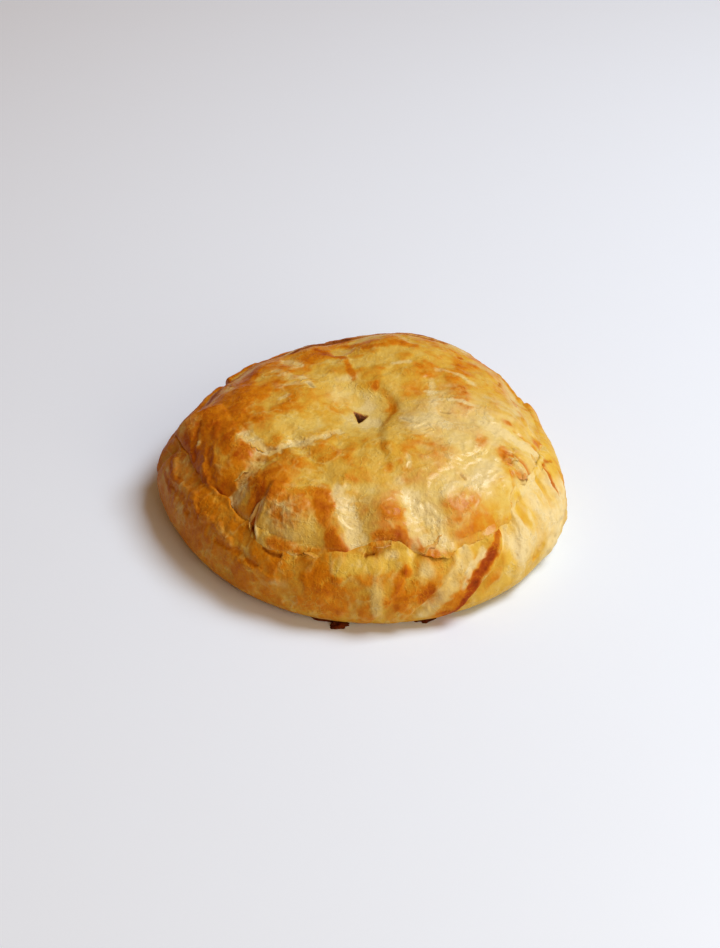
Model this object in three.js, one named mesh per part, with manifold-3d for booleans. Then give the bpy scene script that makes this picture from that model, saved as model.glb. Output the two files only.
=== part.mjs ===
// A round, hand-folded chicken pie, uncut and baked into one solid. A base sheet of flaky pastry is drawn up
// round the filling and pleated, and a lid sheet is pressed over it, so a torn seam runs round the shoulder.
// The lid is domed and blistered, with finger ridges at its front edge and a steam vent in a central dimple.
// Two burnt scraps of juice stick out under the front of the foot.
//
// Millimetres, +Z up, resting on z = 0. A bearing is in degrees seen from above: 0 is the front (-Y), 90 the
// right (+X). Along the crust, a distance is measured from the seam: up over the lid it is positive, down the
// wall to the foot it is negative.
import * as THREE from "three";
import { mergeVertices } from "three/addons/utils/BufferGeometryUtils.js";
import Module from "manifold-3d";

// Driving sizes
const WIDTH = 110;
const HEIGHT = 30;
const SEAM_HEIGHT = 19;
const BELLY_HEIGHT = 5.5; // where the wall is widest

// Profile of the crust, from the driving sizes
const BELLY_RADIUS = WIDTH / 2;
const FOOT_RADIUS = 0.915 * BELLY_RADIUS; // edge of the flat underside
const SEAM_RADIUS = 0.862 * BELLY_RADIUS;
const WALL_PULL = { radius: BELLY_RADIUS, height: 0.75 * SEAM_HEIGHT };
const SHOULDER_PULL = { radius: 0.77 * BELLY_RADIUS, height: 0.9 * HEIGHT };
const CROWN_PULL = { radius: 0.55 * BELLY_RADIUS, height: 1.015 * HEIGHT };

// How finely the crust is divided
const BEARINGS = 144;
const WALL_RINGS = 9;
const LID_RINGS = 15;
const SEAM_RINGS = [-2.6, -1.5, -0.7, -0.2, 0.3, 0.9, 1.8, 3.2]; // closer together across the torn edge

// Lobes change a size smoothly round the pie: each adds `by` at a bearing and fades over `spread` degrees.
const OUTLINE = [
  { at: -52, spread: 30, by: -2.2 },
  { at: 38, spread: 18, by: 0.8 },
  { at: -86, spread: 10, by: 1.5 },
  { at: 108, spread: 19, by: -5.1 },
  { at: -122, spread: 20, by: -3.7 },
  { at: -168, spread: 22, by: -3.1 },
];
const LID_LIFT = [
  { at: 166, spread: 13, by: 1.0 },
  { at: -158, spread: 30, by: -2.6 },
  { at: 112, spread: 24, by: -1.2 },
];
const LID_LIP = [
  { at: -22, spread: 10, by: 1.0 },
  { at: 20, spread: 6, by: 1.2 },
  { at: 40, spread: 9, by: 0.5 },
  { at: 96, spread: 16, by: 0.5 },
  { at: 150, spread: 18, by: 0.5 },
  { at: -140, spread: 16, by: 0.5 },
];
const WALL_LIP = [
  { at: -50, spread: 7, by: 0.7 },
  { at: -76, spread: 6, by: 0.5 },
  { at: 72, spread: 6, by: 0.7 },
];
const SEAM_CRACK = [
  { at: -39, spread: 5, by: 0.9 },
  { at: -28, spread: 6, by: 0.8 },
  { at: -6, spread: 4, by: 0.8 },
  { at: 15, spread: 8, by: 0.9 },
  { at: -84, spread: 6, by: 1.0 },
  { at: 78, spread: 6, by: 0.8 },
  { at: 140, spread: 14, by: 0.6 },
  { at: -152, spread: 16, by: 0.6 },
];

// The seam rises and falls as it runs round: bearings, and how far up the crust it has slid there
const SEAM_PATH = [
  [-180, -4.0], [-150, -4.0], [-118, -4.2], [-100, -2.5], [-86, -1.5], [-78, 0.0], [-60, 0.8], [-50, 1.0],
  [-44, -0.8], [-38, -0.5], [-35, -3.0], [-30, -3.7], [-20, -3.3], [-14, -1.8], [-9, -0.6], [-4, 0.2],
  [2, 2.0], [10, 2.6], [13, 1.0], [15, -0.7], [19, -2.4], [23, -3.4], [25, -2.2], [31, -2.1], [40, -1.7],
  [47, -1.2], [51, 1.5], [56, 2.8], [62, 2.8], [73, 1.2], [84, -0.6], [100, -3.6], [118, -4.8], [138, -4.2],
  [180, -4.0],
];
const SEAM_REACH = 11; // how far from the seam the crust slides with it
const LIP_EDGE = 0.8; // over this length a torn lip rises to its full height
const LIP_FADE = 5.5; // and over this it sinks back into its sheet
const CRACK_WIDTH = 0.7;

// Mounds of the lid: soft swellings and hollows, `out` from the axis. `long` runs along the radius before the
// mound is turned. Finger ridges come first, then blisters, then the dimple.
const MOUNDS = [
  { at: -33, out: 38, long: 8, wide: 4.5, turn: 0, rise: 1.3 },
  { at: -22, out: 41, long: 6, wide: 3.6, turn: 0, rise: 0.9 },
  { at: -10, out: 40, long: 7, wide: 2.6, turn: 6, rise: 1.2 },
  { at: -3, out: 41, long: 7, wide: 2.0, turn: 4, rise: -0.9 },
  { at: 7, out: 41, long: 6, wide: 3.6, turn: 0, rise: 1.3 },
  { at: 17, out: 41, long: 8, wide: 2.4, turn: 10, rise: -0.9 },
  { at: 31, out: 42, long: 5, wide: 5.0, turn: 0, rise: 1.4 },
  { at: 50, out: 42, long: 5, wide: 3.6, turn: 20, rise: 0.9 },
  { at: 64, out: 41, long: 4, wide: 3.0, turn: 0, rise: 0.9 },
  { at: -51, out: 39, long: 8, wide: 2.6, turn: -8, rise: -1.2 },
  { at: -65, out: 37, long: 6, wide: 4.5, turn: 0, rise: 1.1 },
  { at: -82, out: 36, long: 6, wide: 5, turn: 0, rise: 0.9 },
  { at: -90, out: 46, long: 3.5, wide: 4.5, turn: 0, rise: 1.5 },
  { at: -100, out: 31, long: 6, wide: 5, turn: 20, rise: 0.8 },
  { at: -125, out: 30, long: 6, wide: 5, turn: 0, rise: 0.9 },
  { at: -150, out: 28, long: 7, wide: 4, turn: 0, rise: 1.0 },
  { at: 172, out: 29, long: 5, wide: 7, turn: 0, rise: 1.0 },
  { at: 145, out: 31, long: 6, wide: 5, turn: 0, rise: 0.9 },
  { at: 118, out: 29, long: 7, wide: 5, turn: 0, rise: 1.0 },
  { at: 92, out: 30, long: 6, wide: 5, turn: 0, rise: 0.8 },
  { at: 62, out: 30, long: 6, wide: 4, turn: -10, rise: 0.9 },
  { at: -62, out: 23, long: 6, wide: 4, turn: 30, rise: 0.8 },
  { at: -42, out: 24, long: 10, wide: 1.6, turn: 70, rise: -0.9 },
  { at: 5, out: 25, long: 6, wide: 6, turn: 0, rise: 0.8 },
  { at: 38, out: 25, long: 6, wide: 5, turn: 0, rise: 0.9 },
  { at: 74, out: 19, long: 8, wide: 1.5, turn: 0, rise: -0.7 },
  { at: 4, out: 3, long: 6.5, wide: 7.5, turn: 0, rise: -4.2 },
];

// Folds of the lid: an edge through places given by bearing and distance out from the axis. The lid stands up on
// the left of that path and sinks back over `fade`.
const FOLDS = [
  { path: [[165, 11], [140, 8], [88, 8.5], [35, 9], [22, 12], [15, 18], [13, 23], [13, 29]], rise: 1.1, fade: 9 },
  { path: [[-36, 37], [-35, 41], [-35, 48]], rise: 1.2, fade: 6 },
  { path: [[-93, 37], [-90, 42], [-88, 50]], rise: 1.6, fade: 6 },
];
const FOLD_EDGE = 2.2;
const FOLD_STEPS = 8; // pieces that each stretch of a fold is cut into

// The wall was pulled round as it was pleated, so its folds lean: this many degrees from seam to foot.
const LEAN = [
  { at: 38, spread: 21, by: 17 },
  { at: 0, spread: 1e4, by: 5 },
];

// Pleats of the wall: the sheet on the left of a fold overlaps the sheet on its right, with a groove along the
// edge. `at` is the bearing of the fold where it meets the seam.
const PLEATS = [
  { at: 41, step: 1.4, groove: 1.1, fade: 7 },
  { at: 26, step: 0.8, groove: 0.7, fade: 4 },
  { at: 13, step: 0.6, groove: 0.5, fade: 5 },
  { at: -86, step: 1.2, groove: 1.0, fade: 6 },
  { at: 77, step: 0.9, groove: 0.8, fade: 6 },
  { at: 112, step: 1.0, groove: 0.8, fade: 8 },
  { at: 153, step: 1.1, groove: 0.9, fade: 8 },
  { at: -166, step: 1.0, groove: 0.8, fade: 8 },
  { at: -127, step: 1.1, groove: 0.9, fade: 8 },
];
const PLEAT_EDGE = 1.6;
const GROOVE_WIDTH = 1.4;
const FOOT_FADE = 6; // relief of the wall dies away over this height above the foot

// Broad unevenness of rolled dough
const WAVE_RISE = 0.35;
const WAVE_LENGTH = 19;

const VENT = { x: -1.2, y: -3.2, radius: 2.1, taper: 0.6, depth: 6, above: 4, turn: -11 };
const SCRAPS = [
  { at: -10, out: 50.4, long: 12, wide: 3.6, thick: 1.3, turn: -6 },
  { at: -7, out: 52.8, long: 5, wide: 2.4, thick: 1.0, turn: 12 },
  { at: 17, out: 51.4, long: 6, wide: 4, thick: 1.3, turn: 8 },
];
const SCRAP_SIDES = 14;
const CRUST_COLOUR = 0xd79b45;

const wasm = await Module();
wasm.setup();

const radians = THREE.MathUtils.degToRad;
const bell = (share) => Math.exp(-0.5 * share * share);
const step = (share) => THREE.MathUtils.smoothstep(share, -0.5, 0.5);

/** Degrees from one bearing to another, the short way round. */
function turnBetween(from, to) {
  return THREE.MathUtils.euclideanModulo(to - from + 180, 360) - 180;
}

/** What a set of lobes adds at a bearing. */
function lobesAt(lobes, bearing) {
  return lobes.reduce((sum, lobe) => sum + lobe.by * bell(turnBetween(lobe.at, bearing) / lobe.spread), 0);
}

/** A point of the plan at a bearing and a radius. */
function planPoint(bearing, radius) {
  return new THREE.Vector2(radius * Math.sin(radians(bearing)), -radius * Math.cos(radians(bearing)));
}

// The crust's profile as (radius, height): round foot, leaning wall, then the lid up to the axis.
const crust = new THREE.Path()
  .moveTo(FOOT_RADIUS, 0)
  .absellipse(FOOT_RADIUS, BELLY_HEIGHT, BELLY_RADIUS - FOOT_RADIUS, BELLY_HEIGHT, -Math.PI / 2, 0, false)
  .quadraticCurveTo(WALL_PULL.radius, WALL_PULL.height, SEAM_RADIUS, SEAM_HEIGHT)
  .bezierCurveTo(SHOULDER_PULL.radius, SHOULDER_PULL.height, CROWN_PULL.radius, CROWN_PULL.height, 0, HEIGHT);
const [, WALL_LENGTH, CRUST_LENGTH] = crust.getCurveLengths();
const LID_LENGTH = CRUST_LENGTH - WALL_LENGTH;

/** The profile's point at a distance from the seam. */
function profileAt(distance) {
  return crust.getPointAt(THREE.MathUtils.clamp((WALL_LENGTH + distance) / CRUST_LENGTH, 0, 1));
}

/** How far the seam has slid up the crust at a bearing. */
function seamSlide(bearing) {
  const turned = turnBetween(0, bearing);
  const next = Math.max(1, SEAM_PATH.findIndex(([at]) => at >= turned));
  const [[at, by], [end, last]] = SEAM_PATH.slice(next - 1, next + 1);
  return THREE.MathUtils.mapLinear(turned, at, end, by, last);
}

/** Torn edges along the seam: a lid lip above it, a wall lip below it and a crack between them. */
function seamRelief(bearing, distance) {
  const lip = distance > 0 ? lobesAt(LID_LIP, bearing) : lobesAt(WALL_LIP, bearing);
  const away = Math.abs(distance);
  const shape = THREE.MathUtils.smoothstep(away, 0, LIP_EDGE) * Math.exp(-away / LIP_FADE);
  return lip * shape - lobesAt(SEAM_CRACK, bearing) * bell(distance / CRACK_WIDTH);
}

const foldLines = FOLDS.map(({ path }) => {
  const curve = new THREE.SplineCurve(path.map(([at, out]) => planPoint(at, out)));
  return curve.getPoints(FOLD_STEPS * (path.length - 1));
});

/** How far a fold lifts the lid at a point of the plan. It fades out towards the ends of its line. */
function foldRelief({ rise, fade }, line, point) {
  let nearest = Infinity;
  let behind = 0;
  let share = 0;
  for (let i = 1; i < line.length; i++) {
    const run = line[i].clone().sub(line[i - 1]);
    const from = point.clone().sub(line[i - 1]);
    const part = THREE.MathUtils.clamp(from.dot(run) / run.lengthSq(), 0, 1);
    const away = from.distanceTo(run.clone().multiplyScalar(part));
    if (away >= nearest) continue;
    nearest = away;
    behind = Math.sign(run.cross(from)) * away;
    share = (i - 1 + part) / (line.length - 1);
  }
  const taper = Math.sqrt(4 * share * (1 - share));
  return rise * taper * step(behind / FOLD_EDGE) * Math.exp(-Math.max(behind, 0) / fade);
}

/** Mounds and folds of the lid at a point of the plan. */
function lidRelief(point) {
  let rise = 0;
  for (const mound of MOUNDS) {
    const from = point.clone().sub(planPoint(mound.at, mound.out));
    const along = planPoint(mound.at + mound.turn, 1);
    rise += mound.rise * bell(from.dot(along) / mound.long) * bell(from.cross(along) / mound.wide);
  }
  FOLDS.forEach((fold, i) => (rise += foldRelief(fold, foldLines[i], point)));
  return rise;
}

/** Pleats of the wall at a bearing, measured where its fold meets the seam. */
function wallRelief(bearing) {
  return PLEATS.reduce((rise, pleat) => {
    const across = radians(turnBetween(pleat.at, bearing)) * BELLY_RADIUS;
    const sheet = step(-across / PLEAT_EDGE) * Math.exp(Math.min(across, 0) / pleat.fade);
    return rise + pleat.step * sheet - pleat.groove * bell((across - GROOVE_WIDTH) / GROOVE_WIDTH);
  }, 0);
}

/** Where a turned vertex goes: the profile, bent to the outline, with the relief along its normal. */
function sculpt(bearing, distance) {
  const slide = seamSlide(bearing) * Math.max(0, 1 - Math.abs(distance) / SEAM_REACH);
  const here = profileAt(distance + slide);
  const along = profileAt(distance + slide + 0.2).sub(profileAt(distance + slide - 0.2)).normalize();
  const climb = THREE.MathUtils.smoothstep(distance, -WALL_LENGTH, 0);
  const leaned = bearing - lobesAt(LEAN, bearing) * (1 - climb);
  const reach = 1 + lobesAt(OUTLINE, leaned) / BELLY_RADIUS;
  const onLid = THREE.MathUtils.smoothstep(distance, -3, 2);
  const onWall = 1 - THREE.MathUtils.smoothstep(distance, -1, 2);
  const offFoot = THREE.MathUtils.smoothstep(here.y, 0, FOOT_FADE);
  const plan = planPoint(leaned, here.x * reach);
  const wave = Math.sin((plan.x / WAVE_LENGTH) * 6) * Math.cos((plan.y / WAVE_LENGTH) * 5 + here.y / 6);
  const rise =
    seamRelief(bearing, distance) * offFoot +
    lidRelief(plan) * onLid +
    wallRelief(bearing) * onWall * offFoot +
    WAVE_RISE * wave * offFoot;
  const lift = lobesAt(LID_LIFT, bearing) * Math.min(1, here.x / CROWN_PULL.radius) * onLid;
  const spot = planPoint(leaned, here.x * reach + rise * along.y);
  return new THREE.Vector3(spot.x, spot.y, Math.max(0, here.y + lift - rise * along.x));
}

/** Distances from the seam of the rings of vertices, from the foot to the axis. */
function ringDistances() {
  const [lowest] = SEAM_RINGS;
  const highest = SEAM_RINGS.at(-1);
  const { lerp } = THREE.MathUtils;
  const wall = Array.from({ length: WALL_RINGS }, (_, i) => lerp(-WALL_LENGTH, lowest, i / WALL_RINGS));
  const lid = Array.from({ length: LID_RINGS }, (_, i) => lerp(highest, LID_LENGTH, (i + 1) / LID_RINGS));
  return [...wall, ...SEAM_RINGS, ...lid];
}

/** A manifold solid from a geometry's triangles, without the slivers that close on themselves. */
function solidOf(geometry) {
  const bare = new THREE.BufferGeometry().setAttribute("position", geometry.getAttribute("position"));
  const merged = mergeVertices(bare.setIndex(geometry.getIndex()), 1e-4);
  const corners = merged.getIndex().array;
  const kept = [];
  for (let i = 0; i < corners.length; i += 3) {
    const [a, b, c] = corners.slice(i, i + 3);
    if (a !== b && b !== c && c !== a) kept.push(a, b, c);
  }
  return new wasm.Manifold(
    new wasm.Mesh({
      numProp: 3,
      vertProperties: new Float32Array(merged.getAttribute("position").array),
      triVerts: new Uint32Array(kept),
    }),
  );
}

/** The crust turned on the axis from its profile, then sculpted. */
function crustSolid() {
  const distances = ringDistances();
  const rings = [new THREE.Vector2(0, 0), ...distances.map(profileAt)];
  const geometry = new THREE.LatheGeometry(rings, BEARINGS).rotateX(Math.PI / 2);
  const position = geometry.getAttribute("position");
  for (let i = 0; i < position.count; i++) {
    const ring = i % rings.length;
    const turned = Math.floor(i / rings.length) % BEARINGS;
    if (ring === 0 || ring === rings.length - 1) continue;
    const spot = sculpt((360 * turned) / BEARINGS, distances[ring - 1]);
    position.setXYZ(i, spot.x, spot.y, spot.z);
  }
  const peak = sculpt(0, LID_LENGTH);
  for (let i = rings.length - 1; i < position.count; i += rings.length) position.setXYZ(i, 0, 0, peak.z);
  return solidOf(geometry);
}

/** The steam vent: a three-sided plug, wider at the top. */
function ventSolid() {
  const { radius, taper, depth, above, turn, x, y } = VENT;
  const plug = new THREE.CylinderGeometry(radius, radius * taper, depth + above, 3).rotateX(Math.PI / 2);
  const floor = sculpt(0, LID_LENGTH - Math.hypot(x, y)).z - depth;
  return solidOf(plug.rotateZ(radians(turn)).translate(x, y, floor + (depth + above) / 2));
}

/** A flat scrap of burnt juice under the foot, with a nibbled outline. */
function scrapSolid({ at, out, long, wide, thick, turn }) {
  const nibble = (i) => 1 + 0.22 * Math.sin(2.4 * i) * Math.cos(1.1 * i);
  const corners = Array.from({ length: SCRAP_SIDES }, (_, i) => {
    const angle = (2 * Math.PI * i) / SCRAP_SIDES;
    return new THREE.Vector2(0.5 * long * nibble(i) * Math.cos(angle), 0.5 * wide * nibble(i) * Math.sin(angle));
  });
  const flat = new THREE.ExtrudeGeometry(new THREE.Shape(corners), { depth: thick, bevelEnabled: false });
  const centre = planPoint(at, out);
  return solidOf(flat.rotateZ(radians(at + turn)).translate(centre.x, centre.y, 0));
}

/** A BufferGeometry from a manifold solid. */
function geometryOf(solid) {
  const { vertProperties, triVerts } = solid.getMesh();
  return new THREE.BufferGeometry()
    .setAttribute("position", new THREE.BufferAttribute(vertProperties, 3))
    .setIndex(new THREE.BufferAttribute(triVerts, 1));
}

const baked = SCRAPS.reduce((whole, scrap) => whole.add(scrapSolid(scrap)), crustSolid()).subtract(ventSolid());
const geometry = geometryOf(baked);
geometry.computeBoundingBox();
const middle = geometry.boundingBox.getCenter(new THREE.Vector3());
geometry.translate(-middle.x, -middle.y, 0);
geometry.computeVertexNormals();

const pie = new THREE.Mesh(
  geometry,
  new THREE.MeshStandardMaterial({ color: CRUST_COLOUR, roughness: 0.45, metalness: 0 }),
);
pie.name = "pie";

const group = new THREE.Group();
group.add(pie);

export default group;
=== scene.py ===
"""Dresses a round, hand-folded chicken pie.

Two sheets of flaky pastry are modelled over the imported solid: a pleated wall and a domed lid whose torn
edge overlaps it. Each carries its own browning, so that blisters and ridges come out amber, flaked places
cream and juice streaks dark. Loose flakes, a steam vent and burnt scraps of juice under the foot finish it.

Millimetres and degrees are used while modelling, and meshes are written in metres. A bearing is seen from
above: 0 is the front (-Y) and 90 the right (+X). A distance along the crust is measured from the seam, up
over the lid positive and down the wall negative.
"""

import logging
import math
from dataclasses import astuple, dataclass, field
from enum import Enum
from typing import Any, Protocol, Sequence

import bmesh
import bpy
import numpy as np
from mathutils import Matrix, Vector

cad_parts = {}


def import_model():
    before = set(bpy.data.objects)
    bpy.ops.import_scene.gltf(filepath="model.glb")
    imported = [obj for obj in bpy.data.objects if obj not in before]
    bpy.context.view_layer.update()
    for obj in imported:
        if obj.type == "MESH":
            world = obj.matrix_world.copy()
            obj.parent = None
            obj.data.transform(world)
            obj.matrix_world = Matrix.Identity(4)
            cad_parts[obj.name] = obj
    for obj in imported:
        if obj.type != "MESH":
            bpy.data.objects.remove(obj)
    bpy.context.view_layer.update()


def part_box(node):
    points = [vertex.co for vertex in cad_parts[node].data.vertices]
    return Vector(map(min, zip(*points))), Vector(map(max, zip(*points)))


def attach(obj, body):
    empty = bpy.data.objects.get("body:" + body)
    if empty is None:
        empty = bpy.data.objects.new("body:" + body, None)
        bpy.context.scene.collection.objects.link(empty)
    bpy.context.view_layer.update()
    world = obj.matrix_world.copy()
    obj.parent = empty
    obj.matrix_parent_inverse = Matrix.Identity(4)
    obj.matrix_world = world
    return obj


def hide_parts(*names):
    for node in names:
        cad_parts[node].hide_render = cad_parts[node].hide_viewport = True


Array = np.ndarray
MM = 0.001
BODY = "root"
NODE = "pie"

# The profile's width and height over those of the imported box, which its outline and mounds change
WIDTH_PER_BOX = 110.0 / 107.63
HEIGHT_PER_BOX = 30.0 / 31.154

log = logging.getLogger("pie")


class Layer(Enum):
    """Vertex attributes that carry a sheet's browning, with its painted shade and highlight, to its material.
    """

    BAKE = "bake"
    PALE = "pale"
    CHAR = "char"


class Draw(Enum):
    """Where in the noise each kind of unevenness is drawn, so that none repeats another."""

    PLAIN = 0.0
    TORN_LID = 7.0
    LOOSE = 9.0
    WRINKLE = 11.0
    SCORCH = 13.0
    PIT = 33.0
    RAGGED = 57.0
    BLISTER = 71.0
    PATCHY = 83.0
    GRAIN = 91.0


def bell(share: Array) -> Array:
    """A smooth bump of height 1, one spread wide."""
    return np.exp(-0.5 * share * share)


def smoothstep(value: Array, low: float, high: float) -> Array:
    """Rises smoothly from 0 at low to 1 at high."""
    share = np.clip((value - low) / (high - low), 0.0, 1.0)
    return share * share * (3.0 - 2.0 * share)


def turn_between(start: Array, end: Array) -> Array:
    """Degrees from one bearing to another, the short way round."""
    return (end - start + 180.0) % 360.0 - 180.0


def plan_point(bearing: Array, radius: Array) -> Array:
    """Points of the plan at a bearing and a radius.

    Args:
        bearing: Degrees from the front.
        radius: Millimetres from the axis.

    Returns:
        An array whose last axis is (x, y).
    """
    angle = np.radians(bearing)
    return np.stack([radius * np.sin(angle), -radius * np.cos(angle)], axis=-1)


def disc(x: Array, y: Array) -> tuple[Array, Array]:
    """Maps a square onto a disc, ring by ring.

    Args:
        x: Places across the square, -1 to 1.
        y: Places up the square, -1 to 1.

    Returns:
        The share of the radius and the bearing of each place.
    """
    wide = np.abs(x) > np.abs(y)
    safe_x, safe_y = np.where(x == 0, 1.0, x), np.where(y == 0, 1.0, y)
    angle = np.where(wide, math.pi / 4 * y / safe_x, math.pi / 2 - math.pi / 4 * x / safe_y)
    signed = np.where(wide, x, y)
    return np.abs(signed), np.degrees(np.arctan2(signed * np.cos(angle), -signed * np.sin(angle)))


class Noise:
    """Seeded gradient noise over points in millimetres, from about -1 to 1."""

    CELLS = 256
    GAIN = 1.6
    OCTAVE_STEP = 37.0

    def __init__(self, seed: int) -> None:
        """Draws the lattice.

        Args:
            seed: Fixes the draw, so that every run gives the same pie.
        """
        draw = np.random.default_rng(seed)
        self.order = draw.permutation(self.CELLS)
        slopes = draw.normal(size=(self.CELLS, 3))
        self.slopes = slopes / np.linalg.norm(slopes, axis=1, keepdims=True)

    def _corner(self, cell: Array) -> Array:
        """Looks up the slope that is drawn for each lattice cell.

        Args:
            cell: Whole numbers of the cells, one row each.

        Returns:
            The slopes, one row each.
        """
        key = self.order[cell[:, 0] % self.CELLS]
        key = self.order[(key + cell[:, 1]) % self.CELLS]
        key = self.order[(key + cell[:, 2]) % self.CELLS]
        return self.slopes[key]

    def at(self, points: Array, size: float) -> Array:
        """One octave of noise.

        Args:
            points: Positions, one row each.
            size: Width of a lattice cell.

        Returns:
            One value for each point.
        """
        scaled = points / size
        cell = np.floor(scaled).astype(np.int64)
        part = scaled - cell
        ease = part * part * part * (part * (part * 6.0 - 15.0) + 10.0)
        total = np.zeros(len(points))
        for step in np.ndindex(2, 2, 2):
            corner = np.array(step)
            weight = np.prod(np.where(corner == 1, ease, 1.0 - ease), axis=1)
            total += weight * np.sum(self._corner(cell + corner) * (part - corner), axis=1)
        return self.GAIN * total

    def layered(self, points: Array, size: float, octaves: int = 3, draw: Draw = Draw.PLAIN) -> Array:
        """Several octaves, each half as wide and half as strong as the last.

        Args:
            points: Positions, one row each.
            size: Width of the first octave's cells.
            octaves: How many octaves are added.
            draw: Where in the noise it is drawn.

        Returns:
            One value for each point.
        """
        start = points + draw.value
        return sum(self.at(start + self.OCTAVE_STEP * k, size / 2**k) / 2**k for k in range(octaves))


@dataclass(frozen=True)
class Lobe:
    """A smooth change of a size round the pie: `by` at a bearing, fading over `spread` degrees."""

    at: float
    spread: float
    by: float


def lobes_at(lobes: Sequence[Lobe], bearing: Array) -> Array:
    """What a set of lobes adds at each bearing."""
    return sum(lobe.by * bell(turn_between(lobe.at, bearing) / lobe.spread) for lobe in lobes)


@dataclass(frozen=True)
class Mound:
    """A soft swelling or hollow of the lid. `long` runs along the radius before the mound is turned."""

    at: float
    out: float
    long: float
    wide: float
    turn: float
    rise: float


def rounded(points: Sequence[Array], steps: int = 8) -> Array:
    """A smooth curve through points.

    Args:
        points: The places that the curve passes.
        steps: How many pieces each stretch is cut into.

    Returns:
        Points along the curve, one row each.
    """
    padded = [points[0], *points, points[-1]]
    share = np.linspace(0.0, 1.0, steps, endpoint=False)[:, None]
    runs = []
    for before, start, end, after in zip(padded, padded[1:], padded[2:], padded[3:]):
        bend = 2 * before - 5 * start + 4 * end - after
        twist = 3 * (start - end) + after - before
        runs.append(start + 0.5 * share * (end - before + share * (bend + share * twist)))
    return np.vstack([*runs, points[-1]])


@dataclass(frozen=True)
class Fold:
    """A fold's edge across the lid through (bearing, out) points, with the lid raised on its left."""

    points: tuple[tuple[float, float], ...]
    rise: float
    fade: float
    edge: float = 1.9

    def relief(self, plan: Array) -> Array:
        """How far the fold lifts the lid. Over its edge it rises to its full height.

        Args:
            plan: Points of the plan, one row each.

        Returns:
            The rise at each point.
        """
        path = rounded([plan_point(at, out) for at, out in self.points])
        nearest, behind, share = np.full(len(plan), np.inf), np.zeros(len(plan)), np.zeros(len(plan))
        for k, (start, end) in enumerate(zip(path, path[1:])):
            run, offset = end - start, plan - start
            part = np.clip(offset @ run / (run @ run), 0.0, 1.0)
            gap = offset - part[:, None] * run
            away = np.hypot(gap[:, 0], gap[:, 1])
            closer = away < nearest
            side = np.sign(run[0] * offset[:, 1] - run[1] * offset[:, 0])
            nearest = np.where(closer, away, nearest)
            behind = np.where(closer, side * away, behind)
            share = np.where(closer, (k + part) / (len(path) - 1), share)
        taper = np.sqrt(np.clip(4.0 * share * (1.0 - share), 0.0, 1.0))
        up = smoothstep(behind / self.edge, -0.5, 0.5)
        return self.rise * taper * up * np.exp(-np.maximum(behind, 0.0) / self.fade)


@dataclass(frozen=True)
class Pleat:
    """A fold of the wall: the sheet on its left overlaps the sheet on its right, with a groove along it."""

    at: float
    step: float
    groove: float
    fade: float


class Chart(Protocol):
    """Flat coordinates of a sheet, in which marks are placed."""

    def vertices(self, near: float) -> Array:
        """The sheet's vertices, flattened round a bearing."""

    def spot(self, at: float, out: float, near: float) -> Array:
        """A place of the sheet, flattened round a bearing."""

    def along(self, at: float) -> Array:
        """The direction in which a mark is long before it is turned."""

    def grain(self, noise: Noise, size: float) -> Array:
        """Layered noise drawn out along the layers of the pastry."""


@dataclass
class LidChart:
    """The lid's plan, in which `out` is the distance from the axis."""

    plan: Array
    bearing: Array
    stretch: float = 1.6
    ring: float = 34.0
    crown: tuple[float, float] = (10.0, 24.0)
    crown_size: float = 1.4

    def vertices(self, near: float) -> Array:
        """The lid's vertices in plan."""
        return self.plan

    def spot(self, at: float, out: float, near: float) -> Array:
        """The plan's point at a bearing and a radius."""
        return plan_point(at, out)

    def along(self, at: float) -> Array:
        """Outwards along the radius."""
        return plan_point(at, 1.0)

    def grain(self, noise: Noise, size: float) -> Array:
        """Grain that runs along the rim and is lost at the crown.

        Args:
            noise: What the grain is drawn from.
            size: Width of its widest cells.

        Returns:
            One value for each vertex.
        """
        radius = np.hypot(self.plan[:, 0], self.plan[:, 1])
        level = np.full(len(radius), size)
        ring = plan_point(self.bearing, self.ring) / self.stretch
        drawn = noise.layered(np.column_stack([ring, radius]), size, draw=Draw.GRAIN)
        even = noise.layered(np.column_stack([self.plan, level]), self.crown_size * size)
        share = smoothstep(radius, *self.crown)
        return share * drawn + (1 - share) * even


@dataclass
class WallChart:
    """The wall unrolled, in which `out` is the height."""

    bearing: Array
    height: Array
    radius: float
    stretch: float = 1.1

    def vertices(self, near: float) -> Array:
        """The wall's vertices, unrolled from a bearing."""
        arc = np.radians(turn_between(near, self.bearing)) * self.radius
        return np.stack([arc, self.height], axis=1)

    def spot(self, at: float, out: float, near: float) -> Array:
        """The unrolled point at a bearing and a height."""
        return np.array([math.radians(turn_between(near, at)) * self.radius, out])

    def along(self, at: float) -> Array:
        """Up the wall."""
        return np.array([0.0, 1.0])

    def grain(self, noise: Noise, size: float) -> Array:
        """Grain that runs up the wall."""
        ring = plan_point(self.bearing, self.radius)
        return noise.layered(np.column_stack([ring, self.height / self.stretch]), size)


@dataclass(frozen=True)
class Mark:
    """What a mark does to the crust where it lies.

    `bake` browns it, `pale` lays its inner layers bare, `char` burns it, `rise` lifts it, and `wrinkle` is
    the height of fine ridges along the mark. Some marks use `bake`, `pale` and `char` for painted shade and
    painted highlight instead.
    """

    bake: float = 0.0
    pale: float = 0.0
    char: float = 0.0
    rise: float = 0.0
    wrinkle: float = 0.0

    def by(self, share: float) -> "Mark":
        """The same mark, weaker or stronger."""
        return Mark(*(share * value for value in astuple(self)))


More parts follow.
